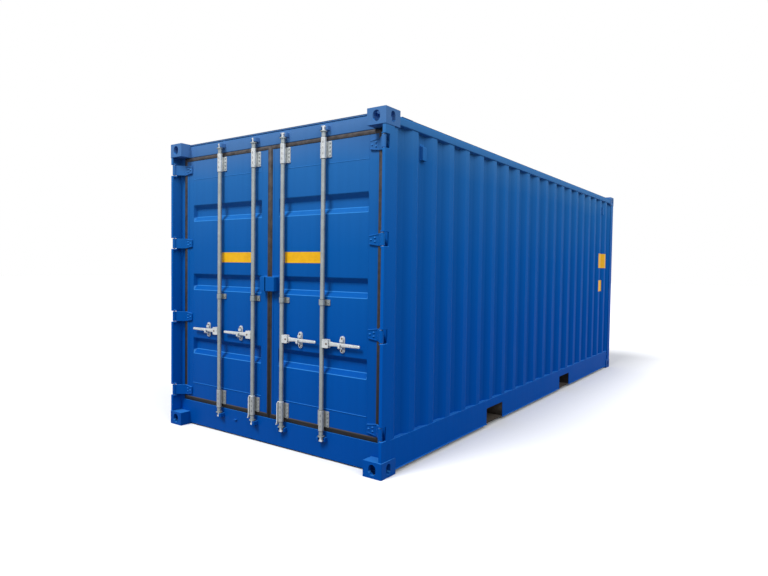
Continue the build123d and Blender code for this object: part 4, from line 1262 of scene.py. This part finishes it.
        def keep(row: int, column: int) -> bool:
            """Leave the corners free where the front castings stand."""
            beside = abs(edges[column][0] + edges[column + 1][0]) / 2 > self.casting_in[0]
            return not (beside and (lengthwise[row][0] + lengthwise[row + 1][0]) / 2 > self.casting_in[1])

        sheet = Shape()
        sheet.pressed(rows, Vector((0, 0, -self.sheet)), keep)
        sheet.make("roof_pressed", "container_body", self.finishes.roof_paint, "blue_paint", ["roof_panel"])

    def ventilators(self) -> None:
        """Make the small hoods near the ends of the side walls, with their rivets."""
        hoods = Shape()
        hoods.from_node("ventilator_covers")
        paint = self.finishes.wall_paint
        hoods.make(
            "ventilator_hoods", "container_body", paint, "ventilator_cover", ["ventilator_covers"], 1.4
        )
        rivets = Shape()
        slope, low, high = self.side_flats
        pitch = 2 * slope + low + high
        for side in Side:
            for number in (1, self.side_count - 2):
                middle = self.side_start + number * pitch + slope + low / 2
                for rise in (2294 * MM, 2418 * MM):
                    for away in (-16 * MM, 16 * MM):
                        base = Vector((side.sign * (self.side_inner + 3 * MM), middle + away, rise))
                        rivets.head(base, Vector((side.sign, 0, 0)), 5 * MM, Head.DOME)
        rivets.make("ventilator_rivets", "container_body", paint, "ventilator_cover")

    def patch(self, name: str, span: Point, levels: Point) -> None:
        """Stick a blank patch on the right wall, following its folds.

        Args:
            name: The patch's name.
            span: Where it starts and ends along the container.
            levels: Its lower and upper edges.
        """
        path = self.side_path()
        inside = [spot for spot in path if span[0] < spot[0] < span[1]]
        ends = []
        for edge in span:
            before = max((spot for spot in path if spot[0] <= edge), key=lambda spot: spot[0])
            after = min((spot for spot in path if spot[0] > edge), key=lambda spot: spot[0])
            share = (edge - before[0]) / (after[0] - before[0])
            ends.append((edge, before[1] + (after[1] - before[1]) * share))
        run = [ends[0]] + inside + [ends[1]]
        lift = 1.0 * MM
        patch = Shape()
        rows = [[Vector((level + lift, place, z)) for z in levels] for place, level in run]
        patch.pressed(rows, Vector((-0.8 * MM, 0, 0)))
        patch.make(name, "container_body", self.finishes.vinyl, "blue_paint")

    def build(self) -> None:
        """Make the walls, the roof, the ventilators and the blank patches."""
        self.side_walls()
        self.front_wall()
        self.roof()
        self.ventilators()
        self.patch("side_patch_large", (2330 * MM, 2689 * MM), (1520 * MM, 1728 * MM))
        self.patch("side_patch_small", (2341 * MM, 2570 * MM), (1180 * MM, 1340 * MM))


@dataclass
class Floor:
    """Plywood sheets on each side of the centre rail, screwed down to the cross members."""

    finishes: Finishes
    top: float = 210 * MM
    thickness: float = 28 * MM
    inner: float = 25 * MM
    outer: float = 1202.7 * MM
    ends: Point = (-2809 * MM, 2960 * MM)
    sheets: int = 5
    joint: float = 2.5 * MM
    screw: float = 6 * MM
    screw_pitch: float = 308 * MM
    screw_rows: tuple[float, ...] = (60 * MM, 350 * MM, 580 * MM, 650 * MM, 900 * MM, 1160 * MM)

    def build(self) -> None:
        """Make the sheets and the rows of screws."""
        boards, screws = Shape(), Shape()
        middle = (self.inner + self.outer) / 2
        length = (self.ends[1] - self.ends[0]) / self.sheets
        for side in Side:
            for number in range(self.sheets):
                start = self.ends[0] + number * length
                for x_span in ((self.inner, middle - self.joint / 2), (middle + self.joint / 2, self.outer)):
                    xs = sorted(side.sign * x for x in x_span)
                    low = (xs[0], start + self.joint / 2, self.top - self.thickness)
                    boards.bar(low, (xs[1], start + length - self.joint / 2, self.top))
            place = self.ends[0] + self.screw_pitch / 2
            while place < self.ends[1]:
                for x in self.screw_rows:
                    base = Vector((side.sign * x, place, self.top - 0.3 * MM))
                    profile = [(0.0, self.screw), (0.5 * MM, self.screw * 0.8), (0.55 * MM, self.screw * 0.3)]
                    screws.lathe(profile, base, Vector((0, 0, 1)), 10)
                place += self.screw_pitch
        boards.make("floor_plywood", "container_body", self.finishes.ply, "plywood", ["floor_boards"], 1.2)
        screws.make("floor_screws", "container_body", self.finishes.zinc, "galvanised_steel")


@dataclass
class DoorLeaf:
    """One door: frame, pressed panel, seal, hinges and the locking gear's fixed pieces."""

    side: Side
    finishes: Finishes
    face: float = -2929 * MM
    depth: float = 50 * MM
    wall: float = 4 * MM
    sheet: float = 2 * MM
    panel_x: Point = (100 * MM, 1010 * MM)
    panel_z: Point = (396 * MM, 2267 * MM)
    recesses: Triple = (743.98 * MM, 1332.9 * MM, 1960.1 * MM)
    recess_height: float = 146 * MM
    recess_slope: float = 38 * MM
    recess_depth: float = 36 * MM
    recess_end: float = 10 * MM
    leaf_x: Point = (30 * MM, 1092 * MM)
    leaf_z: Point = (262 * MM, 2436 * MM)
    seal_x: Point = (0.6 * MM, 1141.4 * MM)
    seal_z: Point = (222.6 * MM, 2469.4 * MM)
    seal_section: tuple[Point, ...] = (
        (0.0, 2.0), (0.10, -3.5), (0.24, -6.5), (0.42, -7.6), (0.60, -6.6), (0.76, -3.5), (0.86, 1.0),
        (1.0, 4.0), (1.0, 9.0), (0.5, 15.0), (0.0, 16.5)
    )
    rods: Point = (169.97 * MM, 599.98 * MM)
    rod_y: float = -2961 * MM
    rod_radius: float = 17 * MM
    sleeve: float = 21.5 * MM
    flange: Triple = (56 * MM, 61 * MM, 8 * MM)
    bracket_z: Point = (319 * MM, 2370 * MM)
    guide_z: float = 1214 * MM
    guide_height: float = 44 * MM
    overhangs: Point = (9 * MM, 28 * MM)
    web: float = 8 * MM
    catch_reach: float = 180.1 * MM
    cradle_root: float = 25 * MM
    cradle_seat: float = 21 * MM
    cradle_share: float = 0.55
    cradle_lift: float = 12 * MM
    catch_z: float = 905.07 * MM
    hinge_z: tuple[float, ...] = (318.1 * MM, 1005.1 * MM, 1682.9 * MM, 2357.1 * MM)
    patches: tuple[tuple[Side, float, float], ...] = (
        (Side.LEFT, 222 * MM, 608 * MM), (Side.RIGHT, 169 * MM, 559 * MM)
    )
    patch_z: Point = (1513 * MM, 1600 * MM)
    seam_bar: Point = (16 * MM, 44 * MM)
    hinge_bars: dict[Side, Point] = field(
        default_factory=lambda: {Side.LEFT: (1072 * MM, 1101 * MM), Side.RIGHT: (1072 * MM, 1135 * MM)}
    )

    def at(self, x: float, y: float, z: float) -> Vector:
        """A point of this door, given as if it were the right one."""
        return Vector((self.side.sign * x, y, z))

    def name(self, part: str) -> str:
        """A piece's name on this door."""
        return f"{self.side.word}_{part}"

    def copied(self, part: str, material: Material, rolled_mm: float) -> None:
        """Dress a copy of one of the leaf's CAD nodes.

        Args:
            part: The node's name without the side.
            material: Its finish.
            rolled_mm: How far its edges are rolled over.
        """
        shape = Shape()
        shape.from_node(self.name(part))
        made = self.name(f"{part}_steel")
        shape.make(made, self.side.body, material, "blue_paint", [self.name(part)], rolled_mm)

    def frame(self) -> None:
        """Weld up the leaf's frame: two uprights, with a channel across above and below the panel."""
        frame = Shape()
        back = self.face + self.depth
        for span in ((self.leaf_x[0], self.panel_x[0]), (self.panel_x[1], self.leaf_x[1])):
            xs = sorted(self.side.sign * x for x in span)
            frame.bar((xs[0], self.face, self.leaf_z[0]), (xs[1], back, self.leaf_z[1]))
        xs = sorted(self.side.sign * x for x in self.panel_x)
        front, wall = self.face, self.wall
        for low, high in ((self.leaf_z[0], self.panel_z[0]), (self.panel_z[1], self.leaf_z[1])):
            channel = [(front, low), (back, low), (back, low + wall), (front + wall, low + wall)]
            channel += [(y, low + high - z) for y, z in reversed(channel)]
            frame.prism(channel, Along.X, xs[0], xs[1])
        made = self.name("door_frame_steel")
        frame.make(made, self.side.body, self.finishes.paint, "blue_paint", [self.name("door_frame")], 1.9)

    def panel(self) -> None:
        """Press the panel, its three bands ending in steep ends beside the uprights."""
        path: list[Point] = [(self.panel_z[0], 0.0)]
        for level in self.recesses:
            low, high = level - self.recess_height / 2, level + self.recess_height / 2
            path += [(low, 0.0), (low + self.recess_slope, self.recess_depth)]
            path += [(high - self.recess_slope, self.recess_depth), (high, 0.0)]
        path.append((self.panel_z[1], 0.0))
        upward = rounded_path(path, 12 * MM, 4)
        start, end = self.panel_x
        shares = rounded_path(
            [
                (start, 0.0), (start + 2 * MM, 0.0), (start + self.recess_end, self.recess_depth),
                (end - self.recess_end, self.recess_depth), (end - 2 * MM, 0.0), (end, 0.0)
            ],
            5 * MM, 3
        )
        rows = [
            [self.at(x, self.face + depth * reach / self.recess_depth, z) for x, reach in shares]
            for z, depth in upward
        ]
        panel = Shape()
        panel.pressed(rows, Vector((0, self.sheet, 0)))
        paint = self.finishes.paint
        panel.make(
            self.name("door_panel_pressed"), self.side.body, paint, "blue_paint", [self.name("door_panel")]
        )
        welds = Shape()
        for z, radius in zip(self.panel_z, (5.5 * MM, 3.2 * MM)):
            welds.bead([self.at(start, self.face, z), self.at(end, self.face, z)], Vector((0, -1, 0)), radius)
        for x in self.panel_x:
            spots = [self.at(x, self.face, z) for z in self.panel_z]
            welds.bead(spots, Vector((0, -1, 0)), 1.8 * MM, 30 * MM)
        welds.make(self.name("door_panel_welds"), self.side.body, paint, "blue_paint", (), 0.0, 80)

    def seal(self) -> None:
        """Run the rubber seal round the leaf, mitred at its corners."""
        corners = ((0, 0), (1, 0), (1, 1), (0, 1))
        rings = []
        for right, top in corners:
            inner = (self.leaf_x[right], self.leaf_z[top])
            outer = (self.seal_x[right], self.seal_z[top])
            rings.append(
                [
                    self.at(
                        inner[0] + (outer[0] - inner[0]) * t, self.face + off * MM,
                        inner[1] + (outer[1] - inner[1]) * t
                    )
                    for t, off in self.seal_section
                ]
            )
        seal = Shape()
        seal.loft(rings, wrap=True)
        made = self.name("door_seal")
        seal.make(made, self.side.body, self.finishes.rubber, "rubber", [self.name("door_gasket")], 0.0, 60)

    def fasten(self, heads: Shape, places: Iterable[Triple], radius: float, kind: Head) -> None:
        """Set fasteners that face away from the door.

        Args:
            heads: Where they go.
            places: Their places as if on the right door.
            radius: Their washers' radius.
            kind: What their heads look like.
        """
        for x, y, z in places:
            heads.head(self.at(x, y, z), Vector((0, -1, 0)), radius, kind)

    def sleeve_at(self, forgings: Shape, bushes: Shape, x: float, flange: Point, sleeve: Point) -> None:
        """Make one bracket: flange, web and sleeve, with the bush that shows in its slots.

        Args:
            forgings: Where the steel goes.
            bushes: Where the nylon goes.
            x: The rod's place.
            flange: The flange's lower and upper ends.
            sleeve: The sleeve's lower and upper ends.
        """
        reach, _, thickness = self.flange
        outline = rounded_outline(
            [(x - reach, flange[0]), (x + reach, flange[0]), (x + reach, flange[1]), (x - reach, flange[1])],
            5 * MM, 3
        )
        rings = [[self.at(a, y, b) for a, b in outline] for y in (self.face - thickness, self.face)]
        forgings.loft(rings)
        web_y = (self.rod_y + self.rod_radius + 1 * MM, self.face - thickness)
        xs = sorted(self.side.sign * (x + away) for away in (-self.web, self.web))
        forgings.bar((xs[0], web_y[0], flange[0] + 4 * MM), (xs[1], web_y[1] + 1 * MM, flange[1] - 4 * MM))
        wide, bore, lip = self.sleeve, self.rod_radius + 0.8 * MM, 1.5 * MM
        low, high = sleeve
        loop = [
            (low, bore), (low, wide - lip), (low + lip, wide), (high - lip, wide), (high, wide - lip),
            (high, bore)
        ]
        forgings.lathe(loop, self.at(x, self.rod_y, 0), Vector((0, 0, 1)), 28, closed=True)
        for end, out in ((low, -1), (high, 1)):
            ring = [
                (end - out * 4 * MM, bore - 0.2 * MM), (end - out * 4 * MM, bore + 1.4 * MM),
                (end + out * 2.5 * MM, bore + 1.4 * MM), (end + out * 2.5 * MM, bore - 0.2 * MM)
            ]
            bushes.lathe(ring, self.at(x, self.rod_y, 0), Vector((0, 0, 1)), 20, closed=True)

    def slots(self, bushes: Shape, x: float, sleeve: Point) -> None:
        """Show the bush through the slots in a sleeve's front.

        Args:
            bushes: Where the nylon goes.
            x: The rod's place.
            sleeve: The sleeve's lower and upper ends.
        """
        run = sleeve[1] - sleeve[0]
        for share in (0.24, 0.50, 0.76):
            for turn in (-38.0, 24.0):
                angle = math.radians(turn)
                out = Vector((math.sin(angle), -math.cos(angle), 0))
                side = Vector((math.cos(angle), math.sin(angle), 0))
                centre = Vector((self.side.sign * x, self.rod_y, sleeve[0] + share * run))
                base = centre + out * (self.sleeve - 0.6 * MM)
                outline = [(-1.6, -9), (1.6, -9), (1.6, 9), (-1.6, 9)]
                rings = [
                    [base + side * (a * MM) + Vector((0, 0, b * MM)) + out * rise for a, b in outline]
                    for rise in (0.0, 0.9 * MM)
                ]
                bushes.loft(rings)

    def brackets(self) -> None:
        """Make the rods' brackets, the guards at the seam and their fasteners."""
        forgings, guides, bushes, heads = Shape(), Shape(), Shape(), Shape()
        half = self.flange[1]
        short, long = self.overhangs
        face = self.face - self.flange[2]
        for x in self.rods:
            for level, below, above in ((self.bracket_z[0], long, short), (self.bracket_z[1], short, long)):
                sleeve = (level - half - below, level + half + above)
                self.sleeve_at(forgings, bushes, x, (level - half, level + half), sleeve)
                self.slots(bushes, x, sleeve)
                spots = [
                    (x + away, face, level + rise) for away in (-43 * MM, 43 * MM)
                    for rise in (-45 * MM, -15 * MM, 15 * MM, 45 * MM)
                ]
                self.fasten(heads, spots, 8.5 * MM, Head.HEX)
            guide = (self.guide_z - self.guide_height / 2, self.guide_z + self.guide_height / 2)
            self.sleeve_at(guides, bushes, x, guide, guide)
            self.fasten(
                heads, [(x + away, face, self.guide_z) for away in (-43 * MM, 43 * MM)], 8 * MM, Head.HEX
            )
        body, zinc = self.side.body, self.finishes.bright_zinc
        stands_for = [self.name("door_rod_brackets")]
        forgings.make(self.name("rod_brackets"), body, zinc, "galvanised_steel", stands_for, 0.8)
        bushes.make(self.name("rod_bushes"), body, self.finishes.nylon, "rubber")
        heads.make(self.name("bracket_bolts"), body, self.finishes.zinc, "galvanised_steel")
        guides.make(self.name("rod_guides"), body, self.finishes.zinc, "galvanised_steel", (), 0.8)
        self.guard()

    def guard(self) -> None:
        """Make the bent strip over the seam rod's lower sleeve."""
        x = self.side.sign * self.rods[0]
        high = (319 + 61 + 9) * MM
        low = (319 - 61 - 28) * MM
        outline = [
            (-22, high), (-22, high + 7 * MM), (22, high + 7 * MM), (34, high - 14 * MM), (34, low),
            (44, low - 30 * MM), (37, low - 30 * MM), (27, low), (27, high - 14 * MM), (22, high)
        ]
        points = [(x - across * MM, z) for across, z in outline]
        guard = Shape()
        guard.prism(points, Along.Y, self.rod_y - 19 * MM, self.rod_y + 7 * MM)
        guard.make(
            self.name("seam_rod_guard"), self.side.body, self.finishes.rubbed_zinc, "galvanised_steel", (),
            1.5
        )

    def catches(self) -> None:
        """Make the handle catches with their bosses and rivets."""
        plates, bosses, rivets = Shape(), Shape(), Shape()
        plates.from_node(self.name("door_handle_catches"))
        # The forged cradle narrows towards its lip, which the photograph shows close to the handle
        for vert in plates.mesh.verts:
            if vert.co.y < self.face - self.cradle_root:
                middles = [self.side.sign * (x + self.catch_reach) for x in self.rods]
                middle = min(middles, key=lambda place: abs(place - vert.co.x))
                vert.co.x = middle + (vert.co.x - middle) * self.cradle_share
                if vert.co.z < self.catch_z - self.cradle_seat:
                    vert.co.z += self.cradle_lift
        for x in self.rods:
            middle = x + self.catch_reach
            for rise in (-46 * MM, 46 * MM):
                base = self.at(middle, self.face - 5 * MM, self.catch_z + rise)
                ring = [(0, 17), (4, 16.5), (8, 14), (9, 11), (7.5, 8), (7, 0.5)]
                bosses.lathe([(h * MM, r * MM) for h, r in ring], base, Vector((0, -1, 0)), 20)
                top = self.at(middle, self.face - 11.5 * MM, self.catch_z + rise)
                rivets.head(top, Vector((0, -1, 0)), 8 * MM, Head.DOME)
            for away in (-10 * MM, 10 * MM):
                base = self.at(middle + away, self.face - 5 * MM, self.catch_z - 27 * MM)
                bosses.lathe(
                    [(0, 7 * MM), (30 * MM, 6 * MM), (32 * MM, 3 * MM)], base, Vector((0, -1, 0)), 14
                )
        body, zinc = self.side.body, self.finishes.handled_zinc
        stands_for = [self.name("door_handle_catches")]
        plates.make(self.name("handle_catches"), body, zinc, "galvanised_steel", stands_for, 2.6)
        bosses.make(self.name("handle_catch_bosses"), body, zinc, "galvanised_steel")
        rivets.make(self.name("handle_catch_rivets"), body, self.finishes.rusty_zinc, "galvanised_steel")

    def hinge_ribs(self) -> None:
        """Raise the pressed ribs along the hinge blades' upper and lower edges."""
        ribs = Shape()
        front = self.face - 12 * MM
        for level in self.hinge_z:
            for hand in (1, -1):
                outline = [(1024, 31), (1106, 43), (1106, 36), (1024, 25)]
                rings = [
                    [self.at(x * MM, y, level + hand * z * MM) for x, z in outline]
                    for y in (front - 3 * MM, front + 2 * MM)
                ]
                ribs.loft(rings)
            for x, z in ((1040, 0), (1075, 14), (1075, -14)):
                ribs.head(self.at(x * MM, front, level + z * MM), Vector((0, -1, 0)), 9 * MM, Head.DOME)
        ribs.make(self.name("hinge_ribs"), self.side.body, self.finishes.paint, "blue_paint", (), 1.2)

    def patch(self) -> None:
        """Stick the blank yellow patch on the flat band beside the seam."""
        start, end = next((low, high) for side, low, high in self.patches if side is self.side)
        z0, z1 = self.patch_z
        outline = rounded_outline([(start, z0), (end, z0), (end, z1), (start, z1)], 5 * MM, 3)
        patch = Shape()
        patch.loft(
            [[self.at(x, y, z) for x, z in outline] for y in (self.face - 0.8 * MM, self.face + 0.2 * MM)]
        )
        patch.make(self.name("door_patch"), self.side.body, self.finishes.vinyl, "blue_paint")

    def clamp_bars(self) -> None:
        """Clamp the seal's root with flat bars along the leaf's upright edges."""
        bars = Shape()
        for span in (self.seam_bar, self.hinge_bars[self.side]):
            xs = sorted(self.side.sign * x for x in span)
            bars.bar(
                (xs[0], self.face - 2.5 * MM, self.leaf_z[0]), (xs[1], self.face + 1 * MM, self.leaf_z[1])
            )
        bars.make(self.name("seal_clamp_bars"), self.side.body, self.finishes.paint, "blue_paint", (), 0.9)

    def build(self) -> None:
        """Make the leaf's pieces."""
        paint = self.finishes.paint
        self.frame()
        self.copied("door_hinges", paint, 2.4)
        self.copied("door_lock_box", paint, 2.4)
        self.panel()
        self.seal()
        self.brackets()
        self.catches()
        self.hinge_ribs()
        self.patch()
        self.clamp_bars()


@dataclass
class LockRod:
    """One lock rod with its cams, its hub and its handle."""

    side: Side
    place: str
    finishes: Finishes
    places: dict[str, float] = field(default_factory=lambda: {"inner": 169.97 * MM, "outer": 599.98 * MM})
    y: float = -2961 * MM
    radius: float = 17 * MM
    bar_z: Point = (185 * MM, 2507 * MM)
    ends_z: Point = (147 * MM, 2545 * MM)
    cam: Triple = (20 * MM, 15 * MM, 9 * MM)
    cam_height: float = 14 * MM
    neck: float = 9.5 * MM
    collar_height: float = 8 * MM
    hub_z: float = 905.07 * MM
    hub_reach: float = 74 * MM
    hub_half: float = 33 * MM
    cheeks: Point = (8.5 * MM, 16.5 * MM)
    pin: float = 56 * MM
    handle: tuple[tuple[float, float, float], ...] = (
        (36, 9, 6.0), (39, 16, 7.0), (48, 19.5, 7.0), (80, 20, 7.0), (92, 18.5, 7.0), (112, 15.2, 7.0),
        (150, 14.4, 7.0), (200, 13.6, 7.0), (300, 12.0, 7.0), (352, 11.2, 7.0), (361, 10.4, 6.6),
        (365.5, 8.0, 5.0)
    )

    @property
    def x(self) -> float:
        """The rod's place across the container."""
        return self.side.sign * self.places[self.place]

    def at(self, reach: float, z: float) -> Point:
        """A place in the rod's upright plane, towards the hinge."""
        return (self.x + self.side.sign * reach, z)

    def rod(self, name: str) -> None:
        """Turn the bar and its collars, and forge the cams and the hub."""
        bar, forgings, cams = Shape(), Shape(), Shape()
        low, high = self.bar_z
        base = Vector((self.x, self.y, 0))
        up = Vector((0, 0, 1))
        bar.lathe([(low + 1 * MM, self.radius), (high - 1 * MM, self.radius)], base, up, 32)
        for start in (low, high - self.collar_height):
            steps = ((0.0, 15.0), (0.0, 25.0), (1.5, 26.5), (6.5, 26.5), (8.0, 25.0), (8.0, 15.0))
            bar.lathe([(start + h * MM, r * MM) for h, r in steps], base, up, 32)
        for end, inward in zip(self.ends_z, (1, -1)):
            cam_in = end + inward * self.cam_height
            nose, heel, half = self.cam
            xs = sorted((self.x - self.side.sign * nose, self.x + self.side.sign * heel))
            zs = sorted((end, cam_in))
            cams.bar((xs[0], self.y - half, zs[0]), (xs[1], self.y + half, zs[1]))
            neck_z = sorted((cam_in - inward * 2 * MM, low if inward > 0 else high))
            cams.bar(
                (self.x - self.neck, self.y - self.neck, neck_z[0]),
                (self.x + self.neck, self.y + self.neck, neck_z[1])
            )
        front, back = self.cheeks
        outline = [
            self.at(12 * MM, self.hub_z - self.hub_half), self.at(self.hub_reach, self.hub_z - self.hub_half),
            self.at(self.hub_reach, self.hub_z + self.hub_half), self.at(12 * MM, self.hub_z + self.hub_half)
        ]
        outline = rounded_outline(outline, 9 * MM, 3)
        for start, end in ((-back, -front), (front, back)):
            forgings.prism(outline, Along.Y, self.y + start, self.y + end)
        spots = [
            self.at(reach, self.hub_z + rise)
            for reach, rise in (
                (4 * MM, -self.hub_half + 2 * MM), (26 * MM, -self.hub_half + 2 * MM),
                (26 * MM, self.hub_half - 2 * MM), (4 * MM, self.hub_half - 2 * MM)
            )
        ]
        forgings.prism(spots, Along.Y, self.y - 12 * MM, self.y + 12 * MM)
        body, zinc = f"{name}_rod", self.finishes
        bar.make(f"{name}_rod_tube", body, zinc.zinc, "galvanised_steel", [f"{name}_lock_rod"], 0.0, 40)
        forgings.make(f"{name}_rod_forgings", body, zinc.handled_zinc, "galvanised_steel", (), 2.0)
        cams.make(f"{name}_rod_cams", body, zinc.rubbed_zinc, "galvanised_steel", (), 2.0)
        pins = Shape()
        x, z = self.at(self.pin, self.hub_z)
        for out in (-1, 1):
            pins.head(Vector((x, self.y + out * back, z)), Vector((0, out, 0)), 8 * MM, Head.DOME)
        pins.lathe([(-back, 6 * MM), (back, 6 * MM)], Vector((x, self.y, z)), Vector((0, 1, 0)), 16)
        pins.make(f"{name}_hub_pin", body, zinc.rusty_zinc, "galvanised_steel")

    def lever(self, name: str) -> None:
        """Forge the handle, round-edged and tapering to its tip."""
        rings = []
        for reach, half, depth in self.handle:
            ring = []
            for step in range(20):
                turn = 2 * math.pi * step / 20
                across, rise = math.cos(turn), math.sin(turn)
                square = 1 / max(abs(across) ** 2.6 + abs(rise) ** 2.6, 1e-9) ** (1 / 2.6)
                x, z = self.at(reach * MM, self.hub_z + rise * square * half * MM)
                ring.append(Vector((x, self.y + across * square * depth * MM, z)))
            rings.append(ring)
        lever = Shape()
        lever.loft(rings)
        body = f"{name}_rod_handle"
        lever.make(
            f"{name}_handle_lever", body, self.finishes.handled_zinc, "galvanised_steel", [f"{name}_handle"],
            0.0, 70
        )

    def build(self) -> None:
        """Make the rod and the handle."""
        name = f"{self.side.word}_{self.place}"
        self.rod(name)
        self.lever(name)


def dress_nodes(frame: dict[str, Any], finishes: Finishes) -> None:
    """Give every CAD node the finish that its slot names.

    Args:
        finishes: The container's finishes.
    """
    by_slot = {
        "blue_paint": finishes.paint, "ventilator_cover": finishes.wall_paint,
        "galvanised_steel": finishes.zinc, "rubber": finishes.rubber, "plywood": finishes.ply
    }
    for subpart in frame["record"]["subparts"]:
        node = frame["nodes"][subpart["node"]]
        node.data.materials.clear()
        node.data.materials.append(by_slot[subpart["material_slot"]])


def main() -> None:
    """Build the scene, sub-assembly by sub-assembly."""
    logging.basicConfig(level=logging.INFO)
    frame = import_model()
    finishes = Finishes()
    dress_nodes(frame, finishes)
    Studio().build()
    CornerCastings(finishes).build()
    SteelFrame(finishes).build()
    Corrugations(finishes).build()
    Floor(finishes).build()
    for side in Side:
        DoorLeaf(side, finishes).build()
        for place in ("inner", "outer"):
            LockRod(side, place, finishes).build()


if __name__ == "__main__":
    main()
